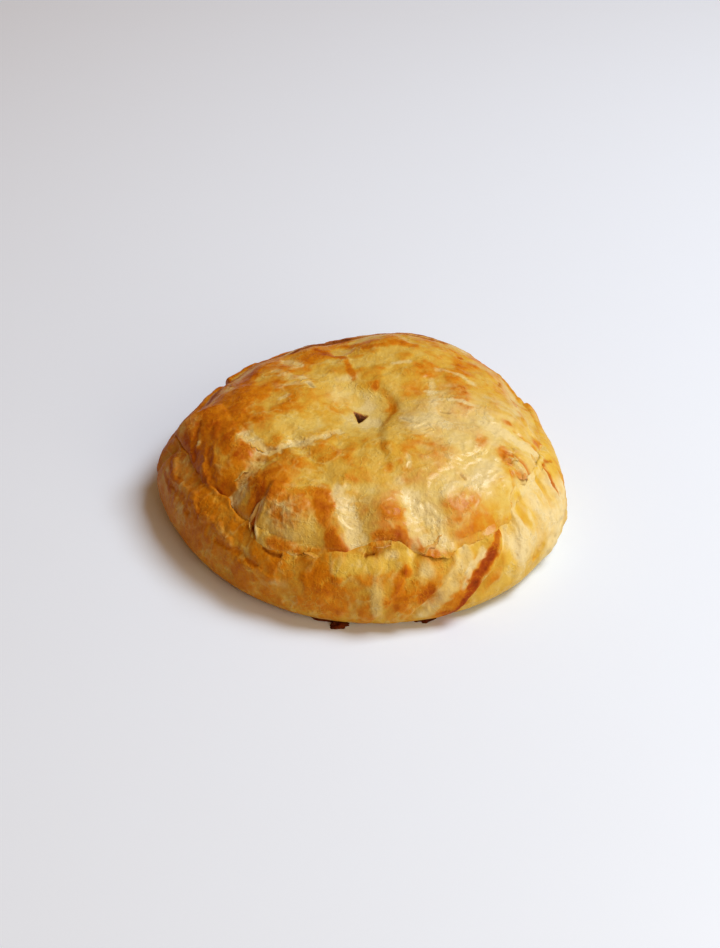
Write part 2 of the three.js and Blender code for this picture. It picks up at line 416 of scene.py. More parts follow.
@dataclass
class Bake:
    """How each vertex of a sheet came out of the oven, with painted shade and highlight, and its small relief
    in millimetres.
    """

    # Painted highlight on the crests of fine ridges and painted shade in the valleys between them
    CREST_HIGHLIGHT = 1.1
    VALLEY_SHADE = 0.5
    VALLEY = 0.4

    bake: Array
    pale: Array
    char: Array
    rise: Array

    def add(self, mark: Mark, weight: Array) -> None:
        """Lays a mark on the sheet.

        Args:
            mark: What is laid.
            weight: How much of it each vertex takes.
        """
        self.bake += mark.bake * weight
        self.pale += mark.pale * weight
        self.char += mark.char * weight
        self.rise += mark.rise * weight

    def even(self, knee: float = 0.56, room: float = 0.26) -> None:
        """Rounds off the browning where marks lie on each other.

        Args:
            knee: Below this nothing changes.
            room: How much further the crust can brown.
        """
        over = np.maximum(self.bake - knee, 0.0)
        self.bake = np.minimum(self.bake, knee) + room * (1.0 - np.exp(-over / room))

    def crease(self, height: float, weight: Array, ridge: Array) -> None:
        """Raises fine ridges, with a painted highlight on their crests and painted shade between them.

        Args:
            height: Height of the ridges.
            weight: How much of them each vertex takes.
            ridge: 1 on a crest and less between crests.
        """
        self.rise += height * weight * ridge
        self.pale += self.CREST_HIGHLIGHT * height * weight * ridge
        self.bake += self.VALLEY_SHADE * height * weight * (self.VALLEY - ridge)


@dataclass(frozen=True)
class Patch:
    """A blotch frayed along its length. `long` runs along the chart's own direction before it is turned."""

    SOFT = (0.3, 1.35)
    REACH = 2.2
    STRETCH = 2.0
    FRAY_SIZE = 3.2
    RIDGE_SIZE = 1.6
    RIDGE_SHARP = 2.6
    RIDGE_DEPTH = 0.6

    at: float
    out: float
    long: float
    wide: float
    mark: Mark
    turn: float = 0.0
    fray: float = 0.42

    def lay(self, bake: Bake, chart: Chart, noise: Noise) -> None:
        """Lays the blotch on a sheet.

        Args:
            bake: The sheet's browning, which is changed.
            chart: The sheet's flat coordinates.
            noise: Frays the edge and draws the wrinkles.
        """
        offset = chart.vertices(self.at) - chart.spot(self.at, self.out, self.at)
        angle = math.radians(self.turn)
        ahead = chart.along(self.at)
        ahead = np.array([ahead[0] * math.cos(angle) - ahead[1] * math.sin(angle),
                          ahead[0] * math.sin(angle) + ahead[1] * math.cos(angle)])
        length, side = offset @ ahead, offset @ np.array([-ahead[1], ahead[0]])
        reach = np.hypot(length / self.long, side / self.wide)
        near = np.flatnonzero(reach < self.REACH)
        own = np.full(len(near), self.at + self.out)
        drawn = np.column_stack([length[near] / self.STRETCH, side[near], own])
        reach[near] += self.fray * noise.layered(drawn, self.FRAY_SIZE, 4)
        weight = 1.0 - smoothstep(reach, *self.SOFT)
        bake.add(self.mark, weight)
        if self.mark.wrinkle:
            ridge = np.zeros(len(weight))
            rough = np.abs(noise.layered(drawn, self.RIDGE_SIZE, 3, Draw.WRINKLE))
            ridge[near] = 1.0 - self.RIDGE_SHARP * rough
            bake.crease(self.mark.wrinkle, weight, np.clip(ridge, -self.RIDGE_DEPTH, 1.0))


@dataclass(frozen=True)
class Stroke:
    """A line of the crust, such as a crack, a crease or a run of juice, through (bearing, out) points."""

    SOFT = (0.35, 1.3)
    REACH = 3.0
    FRAY_SIZE = 2.0
    STEPS = 4

    points: tuple[tuple[float, float], ...]
    width: float
    mark: Mark
    fray: float = 0.35

    def lay(self, bake: Bake, chart: Chart, noise: Noise) -> None:
        """Lays the line on a sheet.

        Args:
            bake: The sheet's browning, which is changed.
            chart: The sheet's flat coordinates.
            noise: Frays the edge.
        """
        start_at, start_out = self.points[0]
        vertices = chart.vertices(start_at)
        path = rounded([chart.spot(at, out, start_at) for at, out in self.points], self.STEPS)
        nearest = np.full(len(vertices), np.inf)
        for start, end in zip(path, path[1:]):
            run = end - start
            share = np.clip((vertices - start) @ run / max(run @ run, 1e-9), 0.0, 1.0)
            gap = vertices - start - share[:, None] * run
            nearest = np.minimum(nearest, np.hypot(gap[:, 0], gap[:, 1]))
        near = np.flatnonzero(nearest < self.REACH * self.width)
        flat = np.column_stack([vertices[near], np.full(len(near), start_at + start_out)])
        nearest[near] += self.fray * self.width * noise.layered(flat, self.FRAY_SIZE, 3)
        bake.add(self.mark, 1.0 - smoothstep(nearest / self.width, *self.SOFT))


@dataclass
class PieForm:
    """The pie's sizes and folds, shared by its two sheets."""

    width: float
    height: float
    seam_height: float = 19.0
    belly_height: float = 5.5
    foot_share: float = 0.915
    seam_share: float = 0.862
    wall_pull: float = 0.75
    shoulder_pull: tuple[float, float] = (0.77, 0.9)
    crown_pull: tuple[float, float] = (0.55, 1.015)
    seam_reach: float = 11.0
    lid_blend: tuple[float, float] = (-3.0, 2.0)
    wall_blend: tuple[float, float] = (-1.0, 2.0)
    lip_fade: float = 5.5
    pleat_edge: float = 0.9
    groove_width: float = 1.3
    foot_fade: float = 6.0
    wave_rise: float = 0.35
    wave_length: float = 19.0
    waves: tuple[int, int] = (6, 5)
    wave_climb: float = 6.0
    slope_step: float = 0.2
    profile_steps: int = 400
    outline_reach: float = 24.0
    outline_rows: int = 40
    outline: tuple[Lobe, ...] = (
        Lobe(-52, 30, -2.2), Lobe(38, 18, 0.8), Lobe(-86, 10, 1.5), Lobe(108, 19, -5.1),
        Lobe(-122, 20, -3.7), Lobe(-168, 22, -3.1),
    )
    lid_lift: tuple[Lobe, ...] = (Lobe(166, 13, 1.0), Lobe(-158, 30, -2.6), Lobe(112, 24, -1.2))
    seam: tuple[tuple[float, float], ...] = (
        (-180, -4.0), (-150, -4.0), (-118, -4.2), (-100, -2.5), (-86, -1.5), (-78, 0.0), (-60, 0.8),
        (-50, 1.0), (-44, -0.8), (-38, -0.5), (-35, -3.0), (-30, -3.7), (-20, -3.3), (-14, -1.8),
        (-9, -0.6), (-4, 0.2), (2, 2.0), (10, 2.6), (13, 1.0), (15, -0.7), (19, -2.4), (23, -3.4),
        (25, -2.2), (31, -2.1), (40, -1.7), (47, -1.2), (51, 1.5), (56, 2.8), (62, 2.8), (73, 1.2),
        (84, -0.6), (100, -3.6), (118, -4.8), (138, -4.2), (180, -4.0),
    )
    lid_lip: tuple[Lobe, ...] = (
        Lobe(-31, 5, 0.25), Lobe(-18, 8, 0.1), Lobe(20, 5, 0.45), Lobe(40, 8, 0.15), Lobe(96, 14, 0.2),
        Lobe(150, 18, 0.3), Lobe(-140, 16, 0.3),
    )
    wall_lip: tuple[Lobe, ...] = (Lobe(-48, 5, 0.25), Lobe(-76, 6, 0.12), Lobe(72, 5, 0.2))
    lean: tuple[Lobe, ...] = (Lobe(38, 21, 17), Lobe(0, 1e4, 5))
    mounds: tuple[Mound, ...] = (
        Mound(-33, 38, 8, 4.5, 0, 1.3), Mound(-22, 41, 6, 3.6, 0, 0.9), Mound(-10, 40, 7, 2.6, 6, 0.8),
        Mound(-3, 41, 7, 2.0, 4, -0.6), Mound(7, 41, 6, 3.6, 0, 0.9), Mound(17, 41, 8, 2.4, 10, -0.6),
        Mound(31, 42, 5, 5.0, 0, 1.0), Mound(50, 42, 5, 3.6, 20, 0.9), Mound(64, 41, 4, 3.0, 0, 0.9),
        Mound(-51, 39, 8, 2.6, -8, -1.2), Mound(-65, 37, 6, 4.5, 0, 1.1), Mound(-82, 36, 6, 5, 0, 0.9),
        Mound(-90, 46, 3.5, 4.5, 0, 1.5), Mound(-100, 31, 6, 5, 20, 0.8), Mound(-125, 30, 6, 5, 0, 0.9),
        Mound(-150, 28, 7, 4, 0, 1.0), Mound(172, 29, 5, 7, 0, 1.0), Mound(145, 31, 6, 5, 0, 0.9),
        Mound(118, 29, 7, 5, 0, 1.0), Mound(92, 30, 6, 5, 0, 0.8), Mound(62, 30, 6, 4, -10, 0.9),
        Mound(-62, 23, 6, 4, 30, 0.8), Mound(-42, 24, 10, 1.6, 70, -0.9), Mound(5, 25, 6, 6, 0, 0.8),
        Mound(38, 25, 6, 5, 0, 0.9), Mound(74, 19, 8, 1.5, 0, -0.7), Mound(4, 3, 6.5, 7.5, 0, -4.2),
    )
    folds: tuple[Fold, ...] = (
        Fold(
            ((165, 11), (140, 8), (88, 8.5), (35, 9), (22, 12), (15, 18), (13, 23), (13, 29)), 1.0, 9, 3.0,
        ),
        Fold(((-36, 37), (-35, 41), (-35, 48)), 1.2, 6),
        Fold(((-93, 37), (-90, 42), (-88, 50)), 1.6, 6),
    )
    pleats: tuple[Pleat, ...] = (
        Pleat(41, 1.4, 1.1, 7), Pleat(26, 0.8, 0.7, 4), Pleat(13, 0.6, 0.5, 5), Pleat(-86, 1.2, 1.0, 6),
        Pleat(77, 0.9, 0.8, 6), Pleat(112, 1.0, 0.8, 8), Pleat(153, 1.1, 0.9, 8), Pleat(-166, 1.0, 0.8, 8),
        Pleat(-127, 1.1, 0.9, 8),
    )
    curve: Array = field(init=False)
    travel: Array = field(init=False)
    wall_length: float = field(init=False)
    lid_length: float = field(init=False)
    axis: Array = field(init=False)

    def __post_init__(self) -> None:
        """Draws the profile and centres the outline."""
        steps = np.linspace(0.0, 1.0, self.profile_steps)[:, None]
        belly, foot, seam = self.belly, self.foot_share * self.belly, self.seam_share * self.belly
        angle = (steps - 1.0) * math.pi / 2
        bent = foot + (belly - foot) * np.cos(angle)
        round_foot = np.hstack([bent, self.belly_height * (1 + np.sin(angle))])
        top = np.array([seam, self.seam_height])
        low = np.array([belly, self.belly_height])
        pull = np.array([belly, self.wall_pull * self.seam_height])
        wall = (1 - steps) ** 2 * low + 2 * steps * (1 - steps) * pull + steps**2 * top
        size = np.array([belly, self.height])
        shoulder, crown = self.shoulder_pull * size, self.crown_pull * size
        peak = np.array([0.0, self.height])
        lid = (
            (1 - steps) ** 3 * top + 3 * steps * (1 - steps) ** 2 * shoulder
            + 3 * steps**2 * (1 - steps) * crown + steps**3 * peak
        )
        self.curve = np.vstack([round_foot, wall[1:], lid[1:]])
        gaps = np.hypot(*np.diff(self.curve, axis=0).T)
        travel = np.concatenate([[0.0], np.cumsum(gaps)])
        self.wall_length = float(travel[2 * len(steps) - 2])
        self.lid_length = float(travel[-1] - self.wall_length)
        self.travel = travel - self.wall_length
        self.axis = np.zeros(2)
        rows = np.linspace(-self.outline_reach, 0.0, self.outline_rows)
        sampled = np.meshgrid(np.arange(0.0, 360.0), rows)
        bearing, distance = (places.ravel() for places in sampled)
        points = self.place(bearing, distance, self.relief(bearing, distance))
        self.axis = -0.5 * (points.min(axis=0) + points.max(axis=0))[:2]

    @property
    def belly(self) -> float:
        """The wall's widest radius."""
        return self.width / 2

    def profile(self, distance: Array) -> tuple[Array, Array]:
        """Radius and height of the profile at each distance from the seam."""
        return (np.interp(distance, self.travel, self.curve[:, 0]),
                np.interp(distance, self.travel, self.curve[:, 1]))

    def slid(self, bearing: Array, distance: Array) -> Array:
        """Moves a distance by the seam's own rise and fall.

        Args:
            bearing: Degrees from the front.
            distance: Millimetres from a level seam.

        Returns:
            The distance along the profile.
        """
        hold = np.maximum(0.0, 1.0 - np.abs(distance) / self.seam_reach)
        slide = np.interp(turn_between(0.0, bearing), *np.transpose(self.seam))
        return distance + slide * hold

    def leaned(self, bearing: Array, distance: Array) -> Array:
        """The bearing turned by the lean of the wall's folds."""
        climb = smoothstep(distance, -self.wall_length, 0.0)
        return bearing - lobes_at(self.lean, bearing) * (1.0 - climb)

    def plan(self, bearing: Array, distance: Array) -> Array:
        """The plan's points under places of the crust, before relief.

        Args:
            bearing: Degrees from the front, where a fold meets the seam.
            distance: Millimetres from the seam.

        Returns:
            Points of the plan, one row each.
        """
        radius, _ = self.profile(self.slid(bearing, distance))
        leaned = self.leaned(bearing, distance)
        return plan_point(leaned, radius * (1.0 + lobes_at(self.outline, leaned) / self.belly))

    def lid_relief(self, plan: Array) -> Array:
        """Mounds and folds of the lid.

        Args:
            plan: Points of the plan, one row each.

        Returns:
            The rise at each point.
        """
        rise = np.zeros(len(plan))
        for mound in self.mounds:
            offset = plan - plan_point(mound.at, mound.out)
            ahead = plan_point(mound.at + mound.turn, 1.0)
            side = offset[:, 0] * ahead[1] - offset[:, 1] * ahead[0]
            rise += mound.rise * bell(offset @ ahead / mound.long) * bell(side / mound.wide)
        return rise + sum(fold.relief(plan) for fold in self.folds)

    def wall_relief(self, bearing: Array) -> Array:
        """Pleats of the wall.

        Args:
            bearing: Degrees from the front, where a fold meets the seam.

        Returns:
            The rise at each bearing.
        """
        rise = np.zeros(len(bearing))
        for pleat in self.pleats:
            across = np.radians(turn_between(pleat.at, bearing)) * self.belly
            sheet = smoothstep(-across / self.pleat_edge, -0.5, 0.5)
            rise += pleat.step * sheet * np.exp(np.minimum(across, 0) / pleat.fade)
            rise -= pleat.groove * bell((across - self.groove_width) / self.groove_width)
        return rise

    def relief(self, bearing: Array, distance: Array) -> Array:
        """The large relief of the crust, as the solid has it, without the torn edges.

        Args:
            bearing: Degrees from the front, where a fold meets the seam.
            distance: Millimetres from the seam.

        Returns:
            The rise at each place.
        """
        plan = self.plan(bearing, distance)
        _, height = self.profile(self.slid(bearing, distance))
        on_lid = smoothstep(distance, *self.lid_blend)
        on_wall = 1.0 - smoothstep(distance, *self.wall_blend)
        off_foot = smoothstep(height, 0.0, self.foot_fade)
        across, ahead = plan.T / self.wave_length
        wave = np.sin(across * self.waves[0]) * np.cos(ahead * self.waves[1] + height / self.wave_climb)
        rise = self.lid_relief(plan) * on_lid + self.wall_relief(bearing) * on_wall * off_foot
        return rise + self.wave_rise * wave * off_foot

    def place(self, bearing: Array, distance: Array, rise: Array, ahead: Array | float = 0.0) -> Array:
        """Where a place of the crust lies.

        Args:
            bearing: Degrees from the front, where a fold meets the seam.
            distance: Millimetres from the seam.
            rise: Relief along the profile's normal.
            ahead: A further move along the profile, up towards the axis.

        Returns:
            Points in millimetres, one row each.
        """
        slid = self.slid(bearing, distance)
        radius, height = self.profile(slid)
        after, before = self.profile(slid + self.slope_step), self.profile(slid - self.slope_step)
        along = np.stack([after[0] - before[0], after[1] - before[1]])
        along = along / np.maximum(np.hypot(*along), 1e-9)
        leaned = self.leaned(bearing, distance)
        reach = radius * (1.0 + lobes_at(self.outline, leaned) / self.belly)
        crown = np.minimum(1.0, radius / (self.crown_pull[0] * self.belly))
        lift = lobes_at(self.lid_lift, bearing) * crown * smoothstep(distance, *self.lid_blend)
        spot = plan_point(leaned, reach + rise * along[1] + ahead * along[0]) + self.axis
        level = height + lift - rise * along[0] + ahead * along[1]
        return np.column_stack([spot, np.maximum(level, 0.0)])


GOLD = Mark(bake=0.10)
AMBER = Mark(bake=0.25)
DEEP = Mark(bake=0.32)
RUSSET = Mark(bake=0.38)
CREAM = Mark(pale=0.85, bake=-0.17)
EDGE = Mark(pale=0.9, bake=-0.2, rise=0.3)
CRACK = Mark(bake=0.2, char=0.55, rise=-0.5)
SPECK = Mark(bake=0.15, char=0.3, rise=-0.2)
JUICE = Mark(bake=0.5, rise=-0.2)
# Painted shade: a sheet's turned-under hem is darkened as if shaded by the edge over it
UNDERSIDE_SHADE = Mark(bake=0.15, char=0.3)
# Painted shade inside the steam vent, reaching a little past its rim so that the steep sides stay dark
VENT_SHADE = Mark(bake=1.0, char=0.3)

LID_MARKS: tuple[Patch | Stroke, ...] = (
    # Front left: the big blister, the flap beside it and the flaked groove
    Patch(-38, 36.2, 6.4, 4.8, Mark(bake=0.3, rise=0.5), 0, 0.25),
    Patch(-37, 29.8, 2.2, 4.4, GOLD),
    # Painted shadow beside the flap's fold
    Stroke(((-38, 40.5), (-36.5, 44), (-36, 46.5)), 1.3, RUSSET),
    Stroke(((-41, 37), (-39.5, 40), (-38.5, 43)), 1.8, AMBER),
    Patch(-26, 42.5, 6.6, 4.4, Mark(pale=0.25, bake=-0.03, wrinkle=0.2), 90),
    Patch(-22, 40.5, 1.6, 2.4, GOLD.by(1.4)),
    Patch(-27, 44.5, 1.4, 2.6, GOLD.by(1.3)),
    Stroke(((-29, 48.2), (-24, 47.6), (-18, 47.4), (-13, 47.4)), 1.1, AMBER.by(0.5), 0.6),
    Stroke(((-31, 50), (-24, 49.4), (-16, 49)), 0.5, CREAM.by(0.8), 0.7),
    Stroke(((-35.6, 42), (-35.8, 44), (-34.6, 46), (-33, 47.5)), 0.5, EDGE),
    Stroke(((-39, 46.8), (-35.6, 46.5), (-33.5, 48.2)), 0.4, CRACK),
    Stroke(((-52, 34), (-50, 37.5), (-48.5, 42), (-46, 46.5)), 2.4,
           Mark(pale=0.55, bake=-0.1, rise=-0.3), 0.8),
    Patch(-46, 43.5, 3.6, 2.2, Mark(pale=0.4, bake=-0.1, wrinkle=0.12), -8),
    Patch(-54, 43.8, 2.4, 2.6, DEEP),
    Patch(-57.5, 35.6, 2.6, 3.0, DEEP.by(0.8)),
    Stroke(((-50, 45), (-48, 46), (-47, 47.5)), 0.9, EDGE),
    # Crumples along the left seam: the grooves are browner as painted shade and the highest crumple paler as
    # painted highlight
    Stroke(((-66, 44), (-60, 45.5), (-54, 47)), 0.8, Mark(rise=0.5, pale=0.3)),
    Stroke(((-70, 41), (-63, 43), (-57, 44.5)), 0.9, Mark(rise=-0.3, bake=0.15), 0.6),
    Stroke(((-76, 45), (-70, 46.5), (-64, 47.5)), 0.9, Mark(rise=0.3, bake=0.1), 0.6),
    Stroke(((-84, 42), (-78, 44), (-72, 45)), 0.8, Mark(rise=-0.3, bake=0.2), 0.6),
    Patch(-62, 44.8, 0.8, 0.8, SPECK),
    Stroke(((-60, 45.8), (-54, 46.6)), 0.5, EDGE),
    Patch(-25, 47.6, 1.6, 5.0, AMBER.by(0.7)),
    # Front: two finger ridges with a cream valley between them
    Stroke(((-16.5, 36), (-14.5, 39), (-12, 42), (-10, 45), (-7, 47)), 2.7, Mark(bake=0.3, rise=0.2), 0.3),
    Stroke(((-10.5, 45), (-8, 46.4), (-5.5, 47.6)), 1.5, RUSSET.by(0.5), 0.4),
    Stroke(((-9.5, 35.5), (-6.5, 40), (-3.8, 44), (-2, 48.5)), 2.5,
           Mark(pale=0.9, bake=-0.16, rise=-0.2), 0.6),
    Patch(-8.5, 32.4, 1.8, 3.0, GOLD.by(0.6)),
    Patch(3, 38.0, 7.0, 12.0, Mark(pale=0.2, bake=-0.05)),
    Stroke(((-6, 48.3), (-3.5, 48.8)), 0.4, CRACK),
    Patch(8, 41.4, 5.8, 5.0, Mark(bake=0.28, rise=0.2), 0, 0.2),
    # A red-brown band along the lid's front edge: a browned edge, darkened further as painted shade under its
    # overhang
    Stroke(((3, 45.4), (9, 45.4), (12.5, 46.6), (16.5, 48.0), (19, 49)), 1.7, RUSSET.by(0.75), 0.4),
    # Front right: the cream strip, the wide ridge and the streaky folds
    Stroke(((17.5, 36), (16.5, 41), (15, 45), (15.5, 47)), 2.0, CREAM.by(0.8), 0.7),
    Patch(21.8, 42.0, 5.6, 2.8, Mark(pale=0.7, bake=-0.14, wrinkle=0.24), 8),
    Stroke(((18, 46.5), (21, 47.5), (25, 48.5)), 1.5, CREAM.by(0.8)),
    Patch(34, 44.8, 4.4, 8.0, AMBER.by(0.8), 0, 0.2),
    Patch(64, 45.5, 3.0, 9.0, Mark(pale=0.4, bake=-0.1)),
    # These three marks are pale where the glaze shines towards the lamps: partly pale flaked layers, partly
    # painted sheen
    Patch(46, 40, 3.4, 6.4, Mark(pale=0.6, bake=-0.16, rise=0.2)),
    Stroke(((29, 39), (35, 38), (44, 41)), 1.0, CREAM.by(0.7)),
    Patch(37, 37.0, 3.2, 6.0, Mark(pale=0.3, bake=-0.1)),
    Patch(51, 44.2, 3.0, 5.0, Mark(bake=0.06, wrinkle=0.12), 90),
    Patch(50, 39.2, 5.0, 2.6, Mark(pale=0.4, bake=-0.1, wrinkle=0.12), 90),
    Patch(85, 45.9, 1.4, 1.7, RUSSET),
    Stroke(((109, 43), (107, 45)), 0.8, AMBER),
    Patch(50, 47.6, 1.0, 1.0, RUSSET.by(0.7)),
    Patch(56, 34.0, 3.4, 3.0, Mark(wrinkle=0.12), 90),
    Stroke(((64, 38), (60.5, 38.6), (59, 41)), 1.2, DEEP.by(0.7)),
    Patch(59, 44.6, 1.9, 1.9, DEEP.by(0.7)),
    # Painted highlight on the curled ridge, with a little rise
    Patch(62, 41.5, 0.9, 1.4, EDGE),
    Stroke(((76, 32), (74.5, 36), (74, 40), (74.5, 44)), 2.4, CREAM, 0.8),
    Patch(61, 40.2, 1.8, 1.5, DEEP.by(0.6)),
    Patch(82, 44.6, 1.2, 1.8, DEEP.by(0.8)),
    Patch(81.5, 36.5, 2.0, 1.2, AMBER),
    Stroke(((118, 20), (105, 18), (91, 17.6), (75, 18), (65, 19)), 1.3, CREAM.by(0.6), 0.9),
    Stroke(((49, 12.5), (54, 16), (60, 20), (60, 24)), 1.3, CREAM.by(0.8), 0.9),
    Patch(73, 46.2, 1.6, 2.2, AMBER),
    # Ruffles at the right: pale where raised and browner where sunk, as painted highlight and painted shade
    Stroke(((58, 47), (61, 44), (60, 40)), 0.8, Mark(rise=0.6, pale=0.3)),
    Stroke(((63, 47), (64.5, 43), (63, 39)), 0.7, Mark(rise=-0.5, bake=0.3)),
    Stroke(((68, 47.5), (69, 44), (67, 41)), 0.8, Mark(rise=0.6, pale=0.35)),
    Stroke(((78, 47), (78, 43), (79, 39)), 0.7, Mark(rise=-0.4, bake=0.25)),
    Stroke(((84, 46), (87, 43), (92, 41)), 0.7, Mark(rise=0.5, pale=0.2)),
    Stroke(((50, 46.5), (54, 45), (57, 42.5)), 0.6, Mark(rise=-0.4, bake=0.2)),
    Patch(60, 33.0, 1.7, 3.8, AMBER),
    Patch(42, 28.0, 4.4, 5.0, GOLD.by(0.8)),
    Patch(82, 37.0, 1.8, 2.0, AMBER.by(0.7)),
    Stroke(((98, 41), (93, 42)), 0.9, AMBER),
    Stroke(((113, 39), (116, 40)), 0.4, SPECK),
    Patch(122, 35.5, 2.2, 3.6, AMBER.by(0.7)),
    Patch(133, 35.5, 1.0, 1.0, Mark(bake=0.5)),
    # The dimple and the fold on its right
    # The dimple is pale, with a touch of char as painted shade in its hollow
    Patch(0, 3.0, 9.0, 8.0, Mark(bake=-0.1, pale=0.15, char=0.05)),
    Patch(0, 3.0, 6.4, 5.2, Mark(bake=-0.2, pale=0.12)),
    Patch(-92, 6.0, 4.6, 4.0, GOLD.by(1.3)),
    # Painted shade along the foot of the fold right of the dimple
    Patch(80, 7.2, 1.9, 2.1, DEEP),
    Patch(157, 8.0, 2.4, 1.4, DEEP.by(0.9)),
    Stroke(((150, 7), (115, 7), (80, 7.5), (45, 8), (25, 10.5)), 1.0, AMBER.by(0.8)),
    Patch(165, 7.5, 1.8, 2.0, GOLD),
    Stroke(((14, 14), (12, 20), (12.5, 24)), 1.0, AMBER.by(0.5)),
    Stroke(((12.3, 26), (12, 29)), 0.7, AMBER.by(0.4)),
    Patch(58, 18.0, 5.0, 5.0, Mark(pale=0.6, bake=-0.16)),
    Patch(-60, 15.0, 12.0, 13.0, Mark(bake=-0.05)),
    Patch(-118, 20.0, 8.0, 12.0, Mark(bake=0.09)),
    # Paler over the lid's right side: partly pale flaked layers, partly painted light and sheen on the side
    # facing the lamps
    Patch(70, 26.0, 14.0, 15.0, Mark(pale=0.64, bake=-0.07)),
    Patch(30, 37.0, 9.0, 12.0, Mark(pale=0.3, bake=0.05)),
    Stroke(((77, 20), (77, 22.3)), 0.35, SPECK),
    Stroke(((52, 12), (49, 15.5)), 0.35, SPECK),
    Stroke(((107, 16.5), (103, 19)), 0.6, CREAM.by(0.7)),
    Patch(108, 24.0, 15.0, 15.0, Mark(bake=0.06)),
    Patch(112, 14.0, 4.0, 4.6, GOLD.by(0.9)),
    Patch(108, 24.5, 4.6, 5.6, GOLD.by(1.1)),
    Patch(87, 26.5, 3.2, 5.0, GOLD.by(1.3)),
    Patch(128, 22.0, 4.0, 3.6, GOLD.by(1.3)),
    Patch(122, 31.0, 2.4, 5.0, AMBER.by(0.7)),
    Stroke(((128, 24), (118, 28), (108, 30)), 0.9, CREAM.by(0.6), 0.9),
    Stroke(((92, 20), (91, 24), (88, 27)), 0.8, CREAM.by(0.7), 0.9),
    Stroke(((156, 18.5), (146, 21)), 0.8, CREAM.by(0.8)),
    Patch(44, 24.5, 2.0, 3.2, GOLD),
    Patch(-4, 25.0, 1.8, 3.6, GOLD),
    Stroke(((24, 26), (21.5, 29)), 0.7, CREAM.by(0.6)),
    Patch(14.5, 32.5, 1.8, 1.5, CREAM.by(0.6)),
    Stroke(((40, 36.2), (40, 37.8)), 0.35, SPECK),
    # Back: amber bands towards the silhouette and a scorch
    Stroke(((180, 26), (167, 26)), 1.1, AMBER),
    Stroke(((-172, 29.5), (175, 29.5)), 1.8, AMBER),
    Stroke(((164, 28), (152, 29)), 1.7, AMBER),
    Stroke(((143, 28.5), (137, 29)), 1.3, AMBER.by(0.7)),
    Patch(163, 15.0, 0.7, 0.8, RUSSET.by(0.4)),
    Patch(138, 21.2, 1.1, 1.9, AMBER.by(0.6)),
    Stroke(((-155, 30), (-160, 24), (-166, 22), (-165, 16), (-165, 11)), 1.0, DEEP),
    Patch(-163, 23.0, 1.2, 1.6, DEEP.by(0.8)),
    Patch(-154, 28.0, 3.2, 3.2, AMBER),
    Stroke(((-146, 34.5), (-154, 35), (-163, 36), (-172, 36)), 1.8, Mark(bake=0.6, char=0.4)),
    Stroke(((-172, 37), (175, 37), (160, 38), (146, 39)), 1.4, Mark(bake=0.35, char=0.2), 0.8),
    Patch(141, 34.5, 2.6, 5.0, AMBER.by(0.8)),
    Patch(131, 41.5, 2.0, 4.0, AMBER.by(0.6)),
    Patch(-145, 26.5, 2.6, 3.2, AMBER.by(0.7)),
    # A darker rim along the back edge: partly scorch, partly painted shade along the far edge
    Stroke(((-102, 42.5), (-115, 42), (-128, 41), (-140, 40.5)), 2.0, Mark(bake=0.3, char=0.15), 0.8),
    Stroke(((-136, 39.5), (-148, 39), (-160, 39), (-174, 40)), 2.0, Mark(bake=0.4, char=0.3), 0.8),
    Stroke(((175, 41), (160, 42), (146, 42)), 1.8, Mark(bake=0.3, char=0.25), 0.8),
    Patch(-113, 34.0, 3.6, 4.4, AMBER),
    Patch(-128, 30.0, 3.4, 4.4, AMBER),
    Stroke(((-107, 24), (-112, 20), (-118, 18)), 1.5, CREAM.by(0.6), 0.9),
    Stroke(((-128, 34), (-136, 30), (-138, 26)), 1.7, CREAM.by(0.65), 0.9),
    Stroke(((-124, 28), (-121, 23), (-124, 20)), 1.6, CREAM.by(0.55), 0.9),
    Patch(-158, 12.0, 1.8, 3.6, CREAM.by(0.8)),
    # Back left: the brown shoulder and the long pale crack
    Patch(-97, 34.0, 5.8, 8.0, DEEP.by(0.55)),
    Patch(-78, 40.0, 6.0, 7.0, AMBER.by(0.8)),
    Patch(-80, 46.5, 2.4, 4.0, AMBER.by(0.6)),
    Stroke(((-92, 42), (-98, 43), (-108, 43)), 2.0, AMBER.by(0.7), 0.7),
    Patch(-86, 44.0, 3.0, 3.6, Mark(pale=0.3, bake=-0.06)),
    Patch(-118, 34.5, 3.2, 2.8, DEEP.by(0.7)),
    Stroke(((-69, 36.5), (-64, 38)), 1.9, DEEP.by(0.8)),
    Patch(-76.5, 43.3, 0.8, 0.7, EDGE),
    Stroke(((-68, 33), (-62, 32.5), (-55, 31.5), (-50, 29.5), (-46, 25), (-41, 22.5), (-34, 18.5),
            (-28, 15)), 1.6, Mark(pale=0.72, bake=-0.16, rise=-0.3), 0.9),
    Stroke(((-53, 30.5), (-50, 29)), 0.45, SPECK),
    Patch(-52, 34.0, 0.6, 0.8, SPECK),
    Patch(-86, 20.0, 3.4, 4.8, AMBER.by(0.7)),
    Patch(-78, 28.0, 4.6, 6.0, AMBER, 0, 0.3),
    Patch(-72, 33.0, 2.4, 3.4, AMBER.by(0.8)),
    Patch(-104, 27.0, 7.0, 7.0, AMBER.by(0.35), 0, 0.3),
    Patch(-108, 12.0, 4.0, 5.0, GOLD.by(0.7)),
    Patch(-63.5, 28.0, 2.4, 2.8, AMBER.by(0.4)),
    Stroke(((-97, 20), (-92, 22)), 0.8, CREAM.by(0.6)),
    Stroke(((-124, 20), (-115, 15)), 1.0, CREAM),
    Stroke(((-118, 16.8), (-114.5, 15)), 0.4, CRACK.by(0.7)),
    Patch(-122, 8.0, 3.6, 4.2, CREAM.by(0.4)),
    Patch(-134, 26.0, 2.2, 2.4, CREAM.by(0.5)),
)
